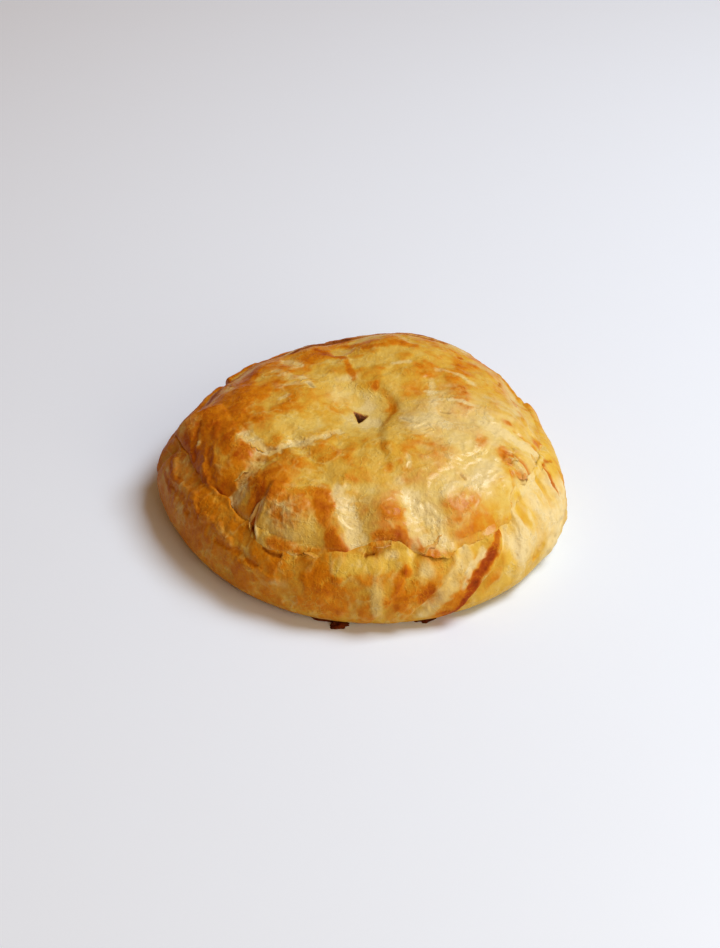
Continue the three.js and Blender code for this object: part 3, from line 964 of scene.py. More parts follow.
WALL_MARKS: tuple[Patch | Stroke, ...] = (
    # Left: brown folds under the torn edge
    Patch(-56, 15.0, 3.0, 9.0, Mark(bake=0.08)),
    # Pinkish pale on the left wall: partly its tan colour, partly painted sheen
    Patch(-74, 11.0, 8.0, 16.0, Mark(pale=0.35, bake=-0.03)),
    # Dark line below the front-left flap: painted shadow under the flap's edge, drawn with the crack mark
    Stroke(((-30, 16.4), (-27, 15.9), (-24, 16.2)), 0.35, CRACK.by(0.7), 0.7),
    # Crumples of the left wall: pale where raised and browner where sunk, as painted highlight and painted
    # shade
    Stroke(((-80, 16.5), (-73, 15.0), (-66, 16.2)), 0.9, Mark(rise=0.4, pale=0.15), 0.8),
    Stroke(((-76, 13.0), (-67, 14.2), (-60, 13.2)), 0.9, Mark(rise=-0.3, bake=0.1), 0.8),
    Stroke(((-62, 16.5), (-55, 14.8), (-48, 15.8), (-41, 14.4)), 0.8, Mark(rise=0.4, pale=0.2), 0.8),
    Stroke(((-46, 13), (-38, 13.6), (-31, 12.6)), 0.7, Mark(rise=-0.3, bake=0.12), 0.8),
    Stroke(((-40, 10.5), (-31, 11.6), (-24, 10.8)), 0.9, Mark(rise=0.3, pale=0.1), 0.8),
    Patch(-24.5, 14.0, 1.2, 2.0, Mark(bake=0.1)),
    Patch(-23, 10.5, 1.2, 2.4, Mark(bake=-0.1, pale=0.2)),
    Stroke(((-84, 17), (-76, 15), (-70, 16)), 0.7, DEEP),
    Stroke(((-80, 13), (-72, 12)), 0.6, AMBER),
    # Front: the yellow strip under the lid, with its blisters
    Stroke(((-8, 16.4), (-1, 17.0), (6, 17.6), (12, 18.2)), 1.8, Mark(bake=-0.26), 0.5),
    Patch(7.5, 18.6, 0.8, 2.0, CREAM.by(0.7)),
    Stroke(((0, 18.5), (2.5, 18.8)), 0.35, CRACK),
    Patch(-12, 13.5, 4.0, 3.6, AMBER.by(0.6)),
    Patch(-7.5, 14.0, 1.1, 1.6, Mark(bake=0.2, rise=0.4)),
    Patch(-6, 9.0, 4.4, 2.8, AMBER.by(0.6)),
    Patch(2.7, 11.0, 5.6, 1.7, Mark(bake=-0.3, pale=0.4, rise=0.3)),
    Patch(8.5, 11.6, 4.0, 2.0, AMBER.by(1.1)),
    Patch(11, 15.9, 1.3, 1.4, Mark(bake=0.4, rise=0.3)),
    Patch(15.6, 15.3, 1.8, 2.4, Mark(bake=-0.32, pale=0.7)),
    Patch(16.2, 10.0, 2.6, 2.4, Mark(bake=0.38, rise=-0.3)),
    Patch(20.5, 16.6, 1.2, 1.8, GOLD),
    Patch(19, 10.0, 8.0, 9.0, Mark(bake=0.06)),
    # Right: the pale fold, the run of juice and the creamy shoulder
    Stroke(((28, 16.8), (25.6, 15.2), (21.8, 12), (19, 9.5), (16.5, 7), (15, 5)), 2.0,
           Mark(bake=-0.22, pale=0.5, rise=0.3), 0.5),
    Stroke(((41.5, 18.5), (38.5, 17), (35.3, 15.2), (32, 13.6), (29.9, 12.4)), 0.8, JUICE.by(0.8), 0.5),
    Stroke(((35.3, 15.2), (29.9, 12.4), (27, 9.3), (25.4, 7), (23.9, 5), (20.7, 2.4)), 1.3, JUICE, 0.5),
    Stroke(((29, 11.4), (26.4, 8.4), (24, 5), (21, 2.4)), 2.8, JUICE.by(0.5), 0.6),
    Stroke(((33, 16), (28, 13.6), (25, 10.5)), 0.8, CREAM.by(0.8), 0.9),
    Patch(34.5, 9.5, 2.8, 3.4, AMBER),
    Patch(46, 13.0, 4.0, 4.4, Mark(bake=-0.1, pale=0.6)),
    # The creamy right shoulder: partly pale flaked layers, partly painted light on the side facing the lamps
    Patch(60, 11.0, 9.0, 14.0, Mark(pale=1.0)),
    Stroke(((54, 19.4), (52, 18.2), (50, 16.4)), 1.5, Mark(bake=0.26, rise=-0.2), 0.5),
    Stroke(((79, 16.8), (75.5, 18.4), (72.5, 18.8)), 0.6, Mark(bake=0.5, char=0.1, rise=-0.3), 0.6),
    Stroke(((72.5, 18.8), (70.5, 17.5), (69, 15.8), (68.5, 14)), 0.9, Mark(bake=0.66, rise=-0.5), 0.6),
    # The folds below are pale where raised and browner where sunk: painted highlight and painted shade along
    # them
    Stroke(((76.5, 16.5), (72, 13.5), (69, 10)), 1.1, Mark(rise=0.6, pale=0.4), 0.6),
    Stroke(((66, 18.5), (64, 16), (63, 13)), 0.9, Mark(bake=0.26, rise=-0.5)),
    Stroke(((70, 18), (68, 14.5), (66, 10)), 1.2, Mark(rise=0.6, pale=0.3)),
    Stroke(((56, 18), (54, 14), (50, 8)), 1.6, Mark(rise=-0.5, bake=0.1)),
    Stroke(((48, 17), (46, 12), (42, 6)), 2.0, Mark(rise=0.5, pale=0.3)),
    Patch(69, 17.0, 0.8, 0.9, DEEP),
    Stroke(((62, 17), (59, 13), (57, 9)), 1.6, Mark(bake=0.12, rise=-0.4), 0.5),
    Stroke(((75, 13.5), (71.5, 10.5), (68, 6)), 2.0, Mark(bake=0.22, pale=-0.3, rise=-0.4), 0.5),
    Stroke(((80, 15), (78, 10), (76, 6)), 2.2, Mark(bake=0.25, pale=-0.3), 0.5),
    Stroke(((56, 9.5), (51, 6.5), (47, 4)), 2.6, Mark(bake=0.12, pale=-0.25), 0.4),
    Stroke(((64, 12), (60, 8.5), (57, 5)), 1.8, Mark(rise=0.5, pale=0.3), 0.5),
    Stroke(((46, 18), (44, 15), (42, 12)), 1.3, Mark(bake=0.12, rise=-0.4), 0.5),
    Stroke(((55, 14), (52.5, 10), (50, 6.5)), 2.6, Mark(bake=0.06, pale=-0.3), 0.4),
    Stroke(((66.5, 18.5), (65, 16), (63.5, 13)), 2.2, Mark(pale=-0.35), 0.4),
    Stroke(((51, 17.5), (49.5, 15.5), (48, 13.5)), 2.0, Mark(bake=0.05, pale=-0.35), 0.4),
    Patch(44, 12.5, 4.5, 2.4, Mark(bake=-0.14, pale=0.5)),
    Patch(37.5, 12.5, 2.4, 2.0, AMBER.by(0.8)),
    Patch(56.5, 7.0, 2.2, 2.6, Mark(bake=-0.12, pale=0.5)),
    Patch(75, 16.0, 2.0, 1.8, Mark(bake=0.14, pale=-0.4)),
)


def grids(count: int, columns: int, rows: int) -> tuple[bmesh.types.BMesh, Array]:
    """Several flat grids in one bmesh.

    Args:
        count: How many grids.
        columns: Faces along each.
        rows: Faces across each.

    Returns:
        The bmesh, and the vertices of each grid, from -1 to 1.
    """
    shape = bmesh.new()
    for _ in range(count):
        bmesh.ops.create_grid(shape, x_segments=columns, y_segments=rows, size=1.0)
    return shape, np.array([v.co[:] for v in shape.verts]).reshape(count, -1, 3)


@dataclass
class Pastry:
    """What the pie's pieces share: how a sheet is browned, flaked and hemmed, and how a mesh is finished."""

    form: PieForm
    noise: Noise
    thickness: float = 0.4
    tuck: float = 1.2
    tuck_drop: float = 0.5
    base_bake: float = 0.42
    mottle: float = 0.08
    mottle_size: float = 8.0
    warp: float = 5.0
    warp_size: float = 9.0
    warp_step: float = 19.0
    island_bake: float = 0.22
    island_pale: float = 0.06
    island_rise: float = 0.3
    island_size: float = 7.0
    island_soft: tuple[float, float] = (-0.4, 0.35)
    leaf_rise: float = 0.4
    leaf_size: float = 9.0
    leaf_end: float = 0.84
    leaf_least: float = 0.3
    ragged_size: float = 8.0
    ragged_soft: tuple[float, float] = (-0.2, 0.4)
    leaf_edge: Mark = Mark(bake=-0.1, pale=0.4)
    crest: Mark = Mark(bake=-0.1, pale=0.22, rise=0.09)
    crest_size: float = 4.2
    crest_sharp: float = 5.0
    patchy_size: float = 6.0
    patchy_soft: tuple[float, float] = (-0.3, 0.3)
    streak_rise: float = 0.06
    streak_bake: float = 0.06
    streak_size: float = 1.8
    blister: Mark = Mark(bake=0.06, rise=0.1)
    blister_size: float = 2.4
    pit: Mark = Mark(bake=0.1, char=0.2, rise=-0.15)
    pit_size: float = 1.1
    pit_soft: tuple[float, float] = (0.4, 0.8)
    calm_at: tuple[float, float] = (22.0, 4.0)
    calm_reach: float = 15.0
    calm_share: float = 0.6
    browned: tuple[float, float] = (0.42, 0.7)
    browned_share: float = 0.95

    def oven(self, chart: Chart, points: Array, marks: Sequence[Patch | Stroke]) -> Bake:
        """Browns a sheet.

        Args:
            chart: The sheet's flat coordinates.
            points: Places of the sheet in millimetres, for its noise.
            marks: Blotches and lines of the sheet.

        Returns:
            The sheet's browning and small relief.
        """
        moves = [self.noise.at(points + self.warp_step * k, self.warp_size) for k in range(1, 4)]
        cloud = self.noise.layered(points + self.warp * np.column_stack(moves), self.mottle_size, 4)
        bake = Bake(self.base_bake + self.mottle * cloud, *np.zeros((3, len(points))))
        for mark in marks:
            mark.lay(bake, chart, self.noise)
        return bake

    def flake(self, bake: Bake, chart: Chart, points: Array) -> None:
        """Breaks a sheet into glazed islands, overlapping leaves and fine streaks along its grain.

        Args:
            bake: The sheet's browning and relief, which are changed.
            chart: The sheet's flat coordinates.
            points: Places of the sheet in millimetres.
        """
        bare = np.clip(bake.pale, 0.0, 1.0)
        away = np.hypot(*(points[:, :2] - self.calm_at).T)
        calm = 1.0 - self.calm_share * bell(away / self.calm_reach)
        island = smoothstep(chart.grain(self.noise, self.island_size), *self.island_soft)
        bake.bake += self.island_bake * (island - 0.5) * calm
        bake.pale += self.island_pale * (1.0 - island)
        bake.rise += self.island_rise * island
        self._leaves(bake, chart, calm * (self.leaf_least + (1.0 - self.leaf_least) * bare), points)
        patchy = smoothstep(self.noise.layered(points, self.patchy_size, 2, Draw.PATCHY), *self.patchy_soft)
        crest = 1.0 - self.crest_sharp * np.abs(chart.grain(self.noise, self.crest_size))
        bake.add(self.crest, np.clip(crest, 0.0, 1.0) * calm * patchy)
        streak = chart.grain(self.noise, self.streak_size)
        bake.rise += self.streak_rise * (0.5 + bare) * streak
        bake.bake += self.streak_bake * streak
        bake.add(self.blister, self.noise.layered(points, self.blister_size, 3, Draw.BLISTER))
        pit = smoothstep(self.noise.layered(points, self.pit_size, 2, Draw.PIT), *self.pit_soft)
        bake.add(self.pit, pit * bare)
        bake.even()
        bake.pale *= 1.0 - self.browned_share * smoothstep(bake.bake, *self.browned)

    def _leaves(self, bake: Bake, chart: Chart, weight: Array, points: Array) -> None:
        """Steps the sheet into overlapping leaves with pale ends.

        Args:
            bake: The sheet's browning and relief, which are changed.
            chart: The sheet's flat coordinates.
            weight: How ragged each vertex may be.
            points: Places of the sheet in millimetres.
        """
        torn = self.noise.layered(points, self.ragged_size, 2, Draw.RAGGED)
        ragged = weight * smoothstep(torn, *self.ragged_soft)
        leaves = 2.0 * chart.grain(self.noise, self.leaf_size)
        part = leaves - np.floor(leaves)
        end = smoothstep(part, self.leaf_end, 1.0)
        bake.rise += self.leaf_rise * ragged * (part / self.leaf_end * (1.0 - end) - 0.5)
        bake.add(self.leaf_edge, end * ragged)

    def hem(self, share: Array, split: float) -> tuple[Array, Array]:
        """A sheet's edge, rolled over its own thickness and then tucked back.

        Args:
            share: How far along its hem each vertex lies, 0 where the sheet isn't hemmed.
            split: The share at which the roll ends and the tuck begins.

        Returns:
            How far each vertex sinks, and how far it goes beyond the edge.
        """
        curl = np.clip(share / split, 0.0, 1.0) * math.pi
        tuck = np.clip((share - split) / (1.0 - split), 0.0, 1.0) * self.tuck
        half = self.thickness / 2
        return half * (1.0 - np.cos(curl)) + self.tuck_drop * tuck, half * np.sin(curl) - tuck

    def finish(self, name: str, shape: bmesh.types.BMesh, points: Array, bake: Bake,
               material: bpy.types.Material) -> bpy.types.Object:
        """Turns a sheet's bmesh into a piece of the pie.

        Args:
            name: The piece's name.
            shape: The sheet's bmesh, whose vertices are moved to points.
            points: Where the vertices go, in millimetres.
            bake: The sheet's browning, kept as attributes.
            material: The crust's material.

        Returns:
            The finished object, riding on the pie's body.
        """
        mesh = bpy.data.meshes.new(name)
        shape.to_mesh(mesh)
        shape.free()
        mesh.vertices.foreach_set("co", (points * MM).astype(np.float32).ravel())
        for layer, values in zip(Layer, (bake.bake, bake.pale, bake.char)):
            made = mesh.attributes.new(layer.value, "FLOAT", "POINT")
            made.data.foreach_set("value", np.clip(values, 0.0, 1.0).astype(np.float32))
        mesh.polygons.foreach_set("use_smooth", np.ones(len(mesh.polygons), bool))
        mesh.update()
        mesh.materials.append(material)
        piece = bpy.data.objects.new(name, mesh)
        bpy.context.scene.collection.objects.link(piece)
        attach(piece, BODY)
        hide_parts(NODE)
        log.info("%s: %d faces", name, len(mesh.polygons))
        return piece


@dataclass
class Wall(Pastry):
    """The pleated wall and its flat foot. The upper edge is tucked under the lid or laps over it."""

    steps: int = 1024
    rings: int = 80
    hem_rings: int = 8
    foot_rings: int = 6
    hem_split: float = 0.5
    thickness: float = 0.8
    base_bake: float = 0.5
    island_bake: float = 0.1
    island_pale: float = 0.02
    pleat_bake: float = 0.1
    lid_press: float = 0.6
    lap_length: float = 1.8
    tucked_length: float = 2.0
    tucked_depth: float = 0.5
    tucked_blend: tuple[float, float] = (-0.5, 1.0)
    pressed: float = 1.0
    torn: float = 0.7
    torn_size: float = 5.0
    stretched: float = 6.0
    browning: tuple[Lobe, ...] = (Lobe(-46, 40, 0.12), Lobe(62, 24, -0.38), Lobe(-150, 45, 0.3))

    def build(self, material: bpy.types.Material) -> bpy.types.Object:
        """Rolls a grid into the wall, folds it and browns it.

        Args:
            material: The crust's material.

        Returns:
            The wall.
        """
        shape = bmesh.new()
        rows = self.foot_rings + self.rings + self.hem_rings - 1
        bmesh.ops.create_grid(shape, x_segments=self.steps, y_segments=rows, size=1.0)
        tag = shape.verts.layers.int.new("row")
        for vertex in shape.verts:
            row = round((vertex.co.y + 1.0) / 2.0 * rows)
            angle = vertex.co.x * math.pi
            vertex[tag] = row
            vertex.co = (row * math.sin(angle), -row * math.cos(angle), 0.0)
        ends = [v for v in shape.verts if v.is_boundary]
        bmesh.ops.remove_doubles(shape, verts=ends, dist=1e-4)
        bmesh.ops.recalc_face_normals(shape, faces=shape.faces)
        counted = np.array([v[tag] for v in shape.verts])
        start = np.array([v.co[:] for v in shape.verts])
        bearing = np.degrees(np.arctan2(start[:, 0], -start[:, 1]))
        points, bake = self._shape(counted, bearing)
        return self.finish("pastry_wall", shape, points, bake, material)

    def _shape(self, row: Array, bearing: Array) -> tuple[Array, Bake]:
        """Where the wall's vertices go and how they are browned.

        Args:
            row: Each vertex's row, counted from the middle of the foot.
            bearing: Each vertex's bearing.

        Returns:
            Points in millimetres and the browning.
        """
        form = self.form
        top = self.foot_rings + self.rings - 1
        foot = np.minimum(row / self.foot_rings, 1.0)
        hem = np.clip((row - top) / self.hem_rings, 0.0, 1.0)
        along = np.interp(row, [self.foot_rings, top], [-form.wall_length, 0.0])
        lap = lobes_at(form.wall_lip, bearing) - self.lid_press * lobes_at(form.lid_lip, bearing)
        ring = np.column_stack([plan_point(bearing, form.belly), np.zeros(len(bearing))])
        torn = self.torn * self.noise.layered(ring, self.torn_size, 4)
        edge = np.where(lap > 0, self.lap_length * lap + torn, self.tucked_length)
        distance = along + edge * smoothstep(along, -self.stretched, 0.0)
        flat = form.place(bearing, distance, np.zeros(len(bearing)))
        leaned = form.leaned(bearing, distance)
        chart = WallChart(leaned, flat[:, 2], form.belly)
        bake = self.oven(chart, flat, WALL_MARKS)
        bake.bake += lobes_at(self.browning, leaned)
        self.flake(bake, chart, flat)
        off_foot = smoothstep(flat[:, 2], 0.0, form.foot_fade)
        rise = form.relief(bearing, distance) + bake.rise * off_foot
        rim = np.exp(-np.maximum(edge - distance, 0.0) / form.lip_fade)
        rise += np.maximum(lap, -self.pressed) * rim * off_foot
        rise -= self.tucked_depth * smoothstep(distance, *self.tucked_blend) * (lap <= 0)
        sunk, ahead = self.hem(hem, self.hem_split)
        points = form.place(bearing, distance, rise - sunk, ahead)
        centre = np.append(form.axis, 0.0)
        points = np.where((foot < 1.0)[:, None], centre + (points - centre) * foot[:, None], points)
        points[foot < 1.0, 2] = 0.0
        bake.bake += self.pleat_bake * form.wall_relief(bearing) * off_foot
        # Painted shade on the wall's hem, tucked under the lid's edge
        bake.add(UNDERSIDE_SHADE, hem)
        return points, bake


@dataclass
class Lid(Pastry):
    """The domed lid: blisters, finger ridges, flaked valleys and a vent, with its torn edge turned under."""

    segments: int = 310
    hem_rings: int = 7
    hem_split: float = 0.6
    lap_length: float = 0.8
    pressed: float = 0.4
    torn: float = 0.5
    torn_size: float = 3.2
    flush: tuple[float, float] = (0.1, 0.4)
    flush_depth: float = 0.36
    flush_fade: float = 1.2
    mound_bake: float = 0.02
    rim_bake: float = 0.06
    vent_depth: float = 5.5
    vent_at: tuple[float, float] = (-1.2, -3.2)
    vent_sides: tuple[float, ...] = (169.0, -71.0, 49.0)
    vent_reach: float = 0.78
    vent_squeeze: tuple[float, float] = (1.0, 0.68)
    vent_margin: float = 0.35
    vent_soft: float = 0.3
    browning: tuple[Lobe, ...] = (Lobe(-95, 42, 0.2), Lobe(180, 40, 0.08), Lobe(60, 48, -0.14))
    browning_from: tuple[float, float] = (18.0, 40.0)

    def build(self, material: bpy.types.Material) -> bpy.types.Object:
        """Lays a grid over the dome, tears its edge and browns it.

        Args:
            material: The crust's material.

        Returns:
            The lid.
        """
        shape, (start,) = grids(1, self.segments, self.segments)
        share, bearing = disc(start[:, 0], start[:, 1])
        points, bake = self._shape(share, bearing)
        return self.finish("pastry_lid", shape, points, bake, material)

    def _shape(self, share: Array, bearing: Array) -> tuple[Array, Bake]:
        """Where the lid's vertices go and how they are browned.

        Args:
            share: Each vertex's share of the grid's radius.
            bearing: Each vertex's bearing.

        Returns:
            Points in millimetres and the browning.
        """
        form = self.form
        brim = 1.0 - self.hem_rings / (self.segments / 2)
        under = np.clip((share - brim) / (1.0 - brim), 0.0, 1.0)
        ring = np.column_stack([plan_point(bearing, form.belly), np.zeros(len(bearing))])
        lap = lobes_at(form.lid_lip, bearing) - lobes_at(form.wall_lip, bearing)
        torn = self.torn * (1.0 + np.clip(lap, 0.0, 1.0))
        torn = torn * self.noise.layered(ring, self.torn_size, 4, Draw.TORN_LID)
        edge = torn - self.lap_length * np.maximum(lap, 0.0)
        distance = edge + (1.0 - np.minimum(share / brim, 1.0)) * (form.lid_length - edge)
        inside = np.maximum(distance - edge, 0.0)
        flat = form.place(bearing, distance, np.zeros(len(bearing)))
        plan = form.plan(bearing, distance)
        chart = LidChart(plan, bearing)
        bake = self.oven(chart, flat, LID_MARKS)
        outer = smoothstep(np.hypot(plan[:, 0], plan[:, 1]), *self.browning_from)
        bake.bake += lobes_at(self.browning, bearing) * outer
        self.flake(bake, chart, flat)
        mounds = form.relief(bearing, distance)
        rim = np.exp(-inside / form.lip_fade)
        rise = mounds + bake.rise + np.maximum(lap, -self.pressed) * rim
        flush = 1.0 - smoothstep(lap, *self.flush)
        rise -= self.flush_depth * flush * np.exp(-inside / self.flush_fade)
        sunk, beyond = self.hem(under, self.hem_split)
        rise -= sunk + self.vent_depth * self._vent(plan, 0.0)
        bake.bake += self.mound_bake * mounds + self.rim_bake * rim
        # Painted shade inside the vent and just past its rim
        bake.add(VENT_SHADE, self._vent(plan, self.vent_margin))
        # Painted shade on the lid's turned-under hem
        bake.add(UNDERSIDE_SHADE, under)
        return form.place(bearing, distance, rise, -beyond), bake

    def _vent(self, plan: Array, margin: float) -> Array:
        """How far places lie inside the three-sided steam vent.

        Args:
            plan: Points of the plan, one row each.
            margin: How far beyond its rim the vent is taken to reach.

        Returns:
            1 inside, 0 outside and a soft step between.
        """
        offset = (plan - np.array(self.vent_at)) * self.vent_squeeze
        inside = np.full(len(plan), -np.inf)
        for bearing in self.vent_sides:
            inside = np.maximum(inside, offset @ plan_point(bearing, 1.0))
        return 1.0 - smoothstep(inside - margin - self.vent_reach, -self.vent_soft, self.vent_soft)


@dataclass(frozen=True)
class Flake:
    """A thin leaf of pastry at a bearing and a distance out, held along one edge and loose along the other.

    It is `long` along the radius before it is turned, and its loose edge, on the left, stands up by `lift`.
    """

    at: float
    out: float
    long: float
    wide: float
    turn: float
    lift: float
    bake: float = 0.35


@dataclass
class Flakes(Pastry):
    """Leaves that have come loose from the lid."""

    lid: bpy.types.Object | None = None
    along: int = 14
    across: int = 10
    thickness: float = 0.1
    taper: float = 0.6
    nibble: float = 0.35
    nibble_size: float = 1.5
    least: float = 0.2
    bow: float = 0.12
    bow_size: float = 3.0
    curl: float = 1.5
    flutter: float = 0.4
    flutter_size: float = 2.0
    stand: float = 0.7
    sunk: float = 0.12
    loose_bake: float = 0.1
    loose_pale: float = 0.9
    drop_from: float = 100.0
    edge_from: float = 20.0
    placed: tuple[Flake, ...] = (
        Flake(-53, 38.0, 6.0, 1.2, -8, 0.6), Flake(-36, 45.0, 5.5, 1.3, 175, 0.7, 0.45),
        Flake(-15, 48.6, 5.0, 1.2, -100, 0.4, 0.5), Flake(5, 46.2, 4.6, 1.6, -80, 0.7, 0.55),
        Flake(19, 47.6, 7.0, 1.4, -70, 0.6, 0.45), Flake(62, 41.4, 4.0, 1.4, -75, 0.7),
        Flake(60, 45.0, 4.0, 1.5, -110, 0.6, 0.6), Flake(70, 44.5, 4.5, 1.5, -60, 0.7),
        Flake(-57, 31.8, 5.0, 1.1, -60, 0.3), Flake(-119, 17.0, 4.5, 1.2, -120, 0.4),
        Flake(104, 40.5, 4.0, 1.2, -85, 0.5, 0.5), Flake(-112, 37.5, 4.0, 1.3, -80, 0.4, 0.7),
    )

    def build(self, material: bpy.types.Material) -> bpy.types.Object:
        """Lays the flakes on the lid.

        Args:
            material: The crust's material.

        Returns:
            All flakes as one piece.
        """
        shape, start = grids(len(self.placed), self.along, self.across)
        laid = [self._lay(flake, grid[:, 0], grid[:, 1]) for flake, grid in zip(self.placed, start)]
        points, tone, bare = (np.concatenate(parts) for parts in zip(*laid))
        bake = Bake(tone, bare, *np.zeros((2, len(points))))
        return self.finish("pastry_flakes", shape, points, bake, material)

    def _lay(self, flake: Flake, x: Array, y: Array) -> tuple[Array, Array, Array]:
        """Drapes one flake on the lid.

        Args:
            flake: Where it lies and how large it is.
            x: Places along its grid, -1 to 1.
            y: Places across its grid, -1 to 1. The flake is turned back under itself half way.

        Returns:
            Points in millimetres, their browning and how bare they are.
        """
        ahead = plan_point(flake.at + flake.turn, 1.0)
        left = np.array([-ahead[1], ahead[0]])
        share = 1.0 - np.abs(y)
        ends = np.maximum(1.0 - x * x, 0.0) ** self.taper
        jag = np.column_stack([x * flake.long, np.full(len(x), flake.at), np.full(len(x), flake.out)])
        nibbled = 1.0 + self.nibble * self.noise.layered(jag, self.nibble_size, 3)
        reach = flake.wide * ends * np.maximum(nibbled, self.least)
        bow = self.bow * flake.long * self.noise.at(jag, self.bow_size)
        plan = plan_point(flake.at, flake.out) + np.outer(0.5 * flake.long * x, ahead)
        plan = plan + np.outer(share * reach + bow, left) + self.form.axis
        flutter = 1.0 + self.flutter * self.noise.layered(jag, self.flutter_size, 1, Draw.LOOSE)
        level = self._ground(plan) + self.stand * flake.lift * share**self.curl * ends * flutter
        level -= self.sunk * (1.0 - share) + self.thickness * (y > 0) * ends
        bake = flake.bake + self.loose_bake * share
        return np.column_stack([plan, level]), bake, self.loose_pale * flake.lift * share * ends

    def _ground(self, plan: Array) -> Array:
        """Measures the lid under points of the plan. Off the lid it measures the nearest edge.

        Args:
            plan: Points of the plan in millimetres, one row each.

        Returns:
            Heights in millimetres.
        """
        heights = []
        for x, y in plan * MM:
            hit, spot, _, _ = self.lid.ray_cast(Vector((x, y, self.drop_from * MM)), Vector((0.0, 0.0, -1.0)))
            if not hit:
                _, spot, _, _ = self.lid.closest_point_on_mesh(Vector((x, y, self.edge_from * MM)))
            heights.append(spot.z / MM)
        return np.array(heights)


@dataclass(frozen=True)
class Scrap:
    """A burnt drop of juice under the foot, at a bearing and a distance out. It is long along the rim."""

    at: float
    out: float
    long: float
    wide: float
    thick: float
    turn: float


@dataclass
class Scraps(Pastry):
    """Burnt scraps on the ground against the foot."""

    steps: int = 36
    drops: tuple[Scrap, ...] = (
        Scrap(-10, 50.4, 12, 3.6, 1.3, -6),
        Scrap(-7, 52.8, 5, 2.4, 1.0, 12),
        Scrap(17, 51.4, 6, 4.0, 1.3, 8),
    )
    browning: float = 0.95
    burning: float = 0.75
    patchiness: float = 0.3
    patch_size: float = 2.0
    nibble: float = 0.35
    nibble_size: float = 2.2
    nibble_ring: float = 3.0
    evenness: float = 0.75
    lump: float = 0.5
    lump_size: float = 1.5
    steepness: int = 5
    least: float = 0.02

    def build(self, material: bpy.types.Material) -> bpy.types.Object:
        """Makes the scraps.

        Args:
            material: The crust's material.

        Returns:
            All scraps as one piece.
        """
        shape, start = grids(len(self.drops), self.steps, self.steps)
        laid = [self._lay(drop, grid[:, 0], grid[:, 1]) for drop, grid in zip(self.drops, start)]
        points = np.vstack(laid)
        none = np.zeros(len(points))
        patchy = self.noise.layered(points, self.patch_size, 2, Draw.SCORCH)
        char = self.burning + self.patchiness * patchy
        bake = Bake(np.full(len(points), self.browning), none, char, none)
        return self.finish("burnt_scraps", shape, points, bake, material)

    def _lay(self, drop: Scrap, x: Array, y: Array) -> Array:
        """Shapes one scrap with a nibbled edge.

        Args:
            drop: Where it lies and how large it is.
            x: Places along its grid, -1 to 1.
            y: Places across its grid, -1 to 1.

        Returns:
            Points in millimetres.
        """
        share, bearing = disc(x, y)
        rim = np.column_stack([plan_point(bearing, self.nibble_ring), np.full(len(x), drop.at)])
        edge = 1.0 + self.nibble * self.noise.layered(rim, self.nibble_size, 3)
        nibbled = plan_point(bearing, share * edge)
        along = plan_point(drop.at + drop.turn + 90.0, 1.0)
        out = plan_point(drop.at + drop.turn, 1.0)
        plan = plan_point(drop.at, drop.out) + self.form.axis
        plan = plan + np.outer(0.5 * drop.long * nibbled[:, 0], along)
        plan = plan + np.outer(0.5 * drop.wide * nibbled[:, 1], out)
        flat = np.column_stack([plan, np.zeros(len(x))])
        lump = self.evenness + self.lump * self.noise.layered(flat, self.lump_size, 3)
        level = drop.thick * lump * (1.0 - share**self.steepness)
        return np.column_stack([plan, np.maximum(level, self.least)])


class Value:
    """A socket that takes part in Python arithmetic by adding Math nodes."""

    def __init__(self, paint: "Paint", socket: bpy.types.NodeSocket) -> None:
        """Wraps a socket of a paint's node tree."""
        self.paint = paint
        self.socket = socket

    def _math(self, operation: str, first: Any, second: Any) -> "Value":
        """A Math node of two values."""
        return self.paint.node("ShaderNodeMath", {"operation": operation}, {0: first, 1: second})

    def __add__(self, other: Any) -> "Value":
        """self + other."""
        return self._math("ADD", self, other)

    def __sub__(self, other: Any) -> "Value":
        """self - other."""
        return self._math("SUBTRACT", self, other)

    def __rsub__(self, other: Any) -> "Value":
        """other - self."""
        return self._math("SUBTRACT", other, self)

    def __mul__(self, other: Any) -> "Value":
        """self * other."""
        return self._math("MULTIPLY", self, other)

    __radd__ = __add__
    __rmul__ = __mul__

    def line(self, sharp: float) -> "Value":
        """Thin lines where a noise passes its middle, 1 along them and 0 elsewhere."""
        away = self.paint.node("ShaderNodeMath", {"operation": "ABSOLUTE"}, {0: self - 0.5})
        return (1.0 - away * sharp).floored()

    def floored(self) -> "Value":
        """The value, or 0 where it is below."""
        return self._math("MAXIMUM", self, 0.0)


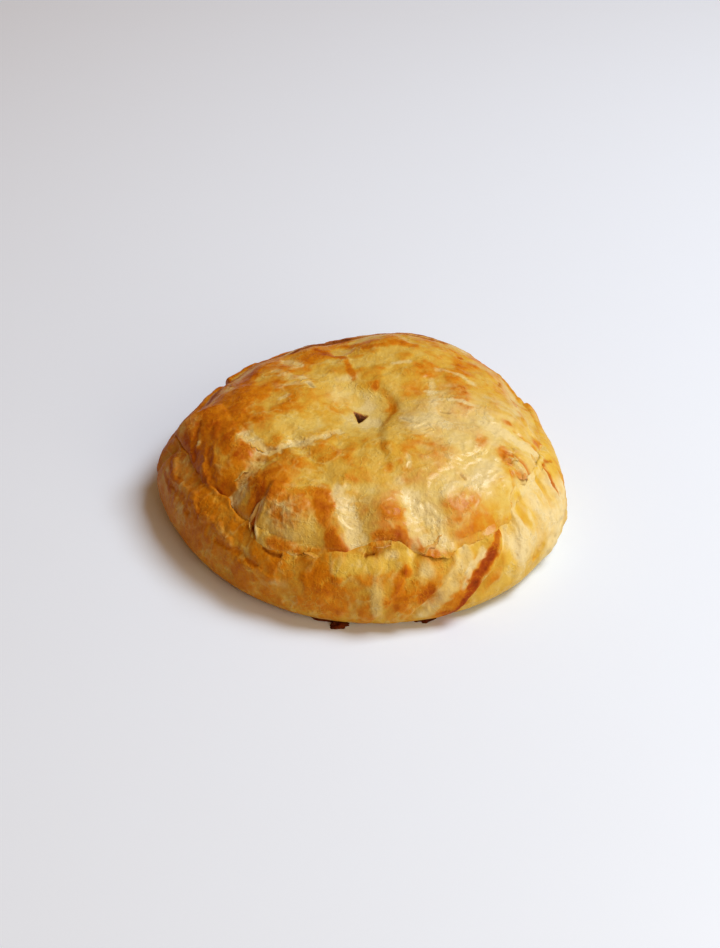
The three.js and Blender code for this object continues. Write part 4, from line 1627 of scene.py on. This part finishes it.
class Paint:
    """A material's node tree, built node by node."""

    def __init__(self, name: str) -> None:
        """Starts an empty material.

        Args:
            name: The material's name.
        """
        self.material = bpy.data.materials.new(name)
        self.material.use_nodes = True
        self.tree = self.material.node_tree
        self.tree.nodes.clear()

    def node(self, kind: str, settings: dict[str, Any] | None = None,
             inputs: dict[Any, Any] | None = None, output: Any = 0) -> Value:
        """Adds a node.

        Args:
            kind: The node's type.
            settings: Properties of the node, set first. `stops` fills a colour ramp.
            inputs: Values or links for its sockets, by name or number.
            output: Which output is wanted, by name or number.

        Returns:
            That output.
        """
        made = self.tree.nodes.new(kind)
        for title, value in (settings or {}).items():
            if title == "stops":
                self._stops(made.color_ramp, value)
            else:
                setattr(made, title, value)
        for title, value in (inputs or {}).items():
            if isinstance(value, Value):
                self.tree.links.new(value.socket, made.inputs[title])
            else:
                made.inputs[title].default_value = value
        return Value(self, made.outputs[output])

    @staticmethod
    def _stops(ramp: bpy.types.ColorRamp, stops: Sequence[tuple[float, Sequence[float]]]) -> None:
        """Fills a colour ramp.

        Args:
            ramp: The ramp of a new node.
            stops: A place from 0 to 1 and a colour for each stop.
        """
        while len(ramp.elements) < len(stops):
            ramp.elements.new(1.0)
        for element, (place, colour) in zip(ramp.elements, stops):
            element.position = place
            element.color = (*colour, 1.0)

    def attribute(self, layer: Layer) -> Value:
        """A vertex attribute of the piece."""
        return self.node("ShaderNodeAttribute", {"attribute_name": layer.value}, output="Fac")

    def noise(self, scale: float, detail: float = 3.0, roughness: float = 0.55) -> Value:
        """Noise on the piece's own coordinates, from 0 to 1."""
        place = self.node("ShaderNodeTexCoord", output="Object")
        return self.node(
            "ShaderNodeTexNoise", {"noise_dimensions": "3D"},
            {"Vector": place, "Scale": scale, "Detail": detail, "Roughness": roughness},
        )

    def mix(self, share: Any, first: Any, second: Any) -> Value:
        """A blend of two colours."""
        return self.node(
            "ShaderNodeMix", {"data_type": "RGBA"}, {"Factor": share, 6: first, 7: second}, output=2,
        )

    def shader(self, inputs: dict[str, Any]) -> bpy.types.Material:
        """Ends the tree in a Principled surface.

        Args:
            inputs: Values or links for the surface's sockets.

        Returns:
            The finished material.
        """
        surface = self.node("ShaderNodeBsdfPrincipled", {}, inputs, output="BSDF")
        end = self.tree.nodes.new("ShaderNodeOutputMaterial")
        self.tree.links.new(surface.socket, end.inputs["Surface"])
        return self.material


def linear(red: int, green: int, blue: int) -> tuple[float, float, float]:
    """A colour on the 0 to 255 display scale, as scene-linear numbers."""
    shares = (red / 255, green / 255, blue / 255)
    return tuple(s / 12.92 if s <= 0.04045 else ((s + 0.055) / 1.055) ** 2.4 for s in shares)


@dataclass(frozen=True)
class CrustFinish:
    """Glazed, flaky pastry from cream to burnt."""

    name: str = "crust"
    coat: float = 0.46
    bared: float = 0.66
    cream: tuple[float, float, float] = linear(218, 198, 137)
    straw: tuple[float, float, float] = linear(212, 183, 92)
    golden: tuple[float, float, float] = linear(203, 159, 53)
    amber: tuple[float, float, float] = linear(196, 119, 11)
    russet: tuple[float, float, float] = linear(155, 63, 5)
    scorched: tuple[float, float, float] = linear(106, 38, 5)
    burnt: tuple[float, float, float] = linear(50, 22, 9)
    flake: tuple[float, float, float] = linear(219, 201, 151)
    glaze: tuple[float, float, float] = (1.0, 0.97, 0.86)
    glaze_roughness: float = 0.24
    shine: float = 0.06
    fine_scale: float = 1500.0
    coarse_scale: float = 420.0
    ragged_scale: float = 170.0
    ragged_soft: tuple[float, float] = (0.47, 0.6)
    fleck_scale: float = 430.0
    fleck_sharp: float = 22.0
    bump_strength: float = 0.55
    bump_depth: float = 0.4

    def material(self) -> bpy.types.Material:
        """Browns the crust by its attributes, which also carry painted shade and highlight, lays its flaked
        places bare and glazes it.

        Returns:
            The crust's material.
        """
        paint = Paint(self.name)
        bake, pale, char = (paint.attribute(layer) for layer in Layer)
        fine, coarse = paint.noise(self.fine_scale), paint.noise(self.coarse_scale, 5.0, 0.6)
        low, high = self.ragged_soft
        ragged = paint.node("ShaderNodeMapRange", {}, {0: paint.noise(self.ragged_scale), 1: low, 2: high})
        fleck = paint.noise(self.fleck_scale, 3.0, 0.5).line(self.fleck_sharp) * ragged
        tone = bake + (fine - 0.5) * 0.08 + (coarse - 0.5) * 0.34 - fleck * 0.1
        skin = paint.node("ShaderNodeValToRGB", {"stops": (
            (0.0, self.cream), (0.2, self.straw), (0.42, self.golden), (0.65, self.amber),
            (0.87, self.russet), (1.0, self.scorched),
        )}, {"Fac": tone})
        bare = pale * (self.bared + (coarse - 0.5) * 1.2 + fleck * 0.4)
        colour = paint.mix(bare, skin, (*self.flake, 1.0))
        colour = paint.mix(char, colour, (*self.burnt, 1.0))
        rough = 0.5 + pale * 0.2 + char * 0.5 + (fine - 0.5) * 0.2
        bump = paint.node("ShaderNodeBump", {}, {
            "Strength": self.bump_strength, "Distance": self.bump_depth * MM, "Height": fine + fleck * 0.5,
        }, "Normal")
        gloss = self.coat * (1.55 - bake * 1.75 - pale * 0.5 - char * 1.5)
        return paint.shader({
            "Base Color": colour, "Roughness": rough, "Normal": bump, "Coat Weight": gloss.floored(),
            "Coat Roughness": self.glaze_roughness, "Coat Tint": (*self.glaze, 1.0),
            "Specular IOR Level": self.shine,
        })


LID_CRUST = CrustFinish()
WALL_CRUST = CrustFinish("wall_crust", coat=0.12, bared=0.85, straw=linear(210, 174, 70))


@dataclass(frozen=True)
class FloorFinish:
    """A plain pale surface."""

    colour: tuple[float, float, float] = linear(226, 238, 255)
    cloud: tuple[float, float, float] = (0.7, 0.69, 0.68)
    cloud_scale: float = 60.0
    cloud_share: float = 0.04
    roughness: float = 0.45

    def material(self) -> bpy.types.Material:
        """Clouds the floor's colour a little.

        Returns:
            The floor's material.
        """
        paint = Paint("pale_floor")
        clouded = paint.noise(self.cloud_scale) * self.cloud_share
        shade = paint.mix(clouded, (*self.colour, 1.0), (*self.cloud, 1.0))
        return paint.shader({"Base Color": shade, "Roughness": self.roughness})


@dataclass(frozen=True)
class Lamp:
    """A square soft lamp that faces the pie."""

    name: str
    spot: tuple[float, float, float]
    size: float
    power: float
    colour: tuple[float, float, float]

    def hang(self) -> None:
        """Puts the lamp in the scene."""
        lamp = bpy.data.objects.new(self.name, bpy.data.lights.new(self.name, "AREA"))
        lamp.data.size = self.size
        lamp.data.energy = self.power
        lamp.data.color = self.colour
        lamp.location = self.spot
        lamp.rotation_euler = (-Vector(self.spot)).to_track_quat("-Z", "Y").to_euler()
        bpy.context.scene.collection.objects.link(lamp)


@dataclass
class Studio:
    """The floor, the soft light and the camera."""

    lens: float = 56.96
    sensor: float = 36.0
    elevation: float = 38.7
    eye: tuple[float, float, float] = (0.00008, -0.3125, 0.2566)
    floor_size: float = 3.0
    lamps: tuple[Lamp, ...] = (
        Lamp("window", (0.49, 0.08, 0.80), 0.42, 7.9, (0.92, 0.97, 1.0)),
        Lamp("room", (0.63, -0.78, 0.45), 0.8, 5.5, (1.0, 0.88, 0.68)),
    )
    sky: tuple[float, float, float] = (1.0, 0.53, 0.22)
    sky_strength: float = 0.255

    def build(self) -> None:
        """Sets up everything that isn't the pie."""
        self._floor()
        self._camera()
        self._light()

    def _floor(self) -> None:
        """Lays the floor under the foot."""
        shape = bmesh.new()
        bmesh.ops.create_grid(shape, x_segments=1, y_segments=1, size=self.floor_size)
        mesh = bpy.data.meshes.new("floor")
        shape.to_mesh(mesh)
        shape.free()
        mesh.materials.append(FloorFinish().material())
        floor = bpy.data.objects.new("floor", mesh)
        bpy.context.scene.collection.objects.link(floor)

    def _camera(self) -> None:
        """Sets the camera at the viewing angle."""
        camera = bpy.data.objects.new("camera", bpy.data.cameras.new("camera"))
        camera.data.lens = self.lens
        camera.data.sensor_width = self.sensor
        camera.data.clip_start = 0.01
        camera.location = self.eye
        camera.rotation_euler = (math.radians(90.0 - self.elevation), 0.0, 0.0)
        bpy.context.scene.collection.objects.link(camera)
        bpy.context.scene.camera = camera

    def _light(self) -> None:
        """Hangs a soft lamp at the right, a weaker one in front of it, and an even sky."""
        for lamp in self.lamps:
            lamp.hang()
        world = bpy.data.worlds.new("sky")
        world.use_nodes = True
        background = world.node_tree.nodes["Background"]
        background.inputs["Color"].default_value = (*self.sky, 1.0)
        background.inputs["Strength"].default_value = self.sky_strength
        bpy.context.scene.world = world
        bpy.context.scene.view_settings.view_transform = "Standard"


def main() -> None:
    """Builds the pie and its studio."""
    logging.basicConfig(level=logging.INFO, format="%(name)s %(message)s")
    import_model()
    low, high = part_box(NODE)
    form = PieForm(width=WIDTH_PER_BOX * (high.x - low.x) / MM, height=HEIGHT_PER_BOX * high.z / MM)
    noise = Noise(seed=11)
    crust = LID_CRUST.material()
    Wall(form, noise).build(WALL_CRUST.material())
    lid = Lid(form, noise).build(crust)
    bpy.context.view_layer.update()
    Flakes(form, noise, lid=lid).build(crust)
    Scraps(form, noise).build(crust)
    Studio().build()


if __name__ == "__main__":
    main()
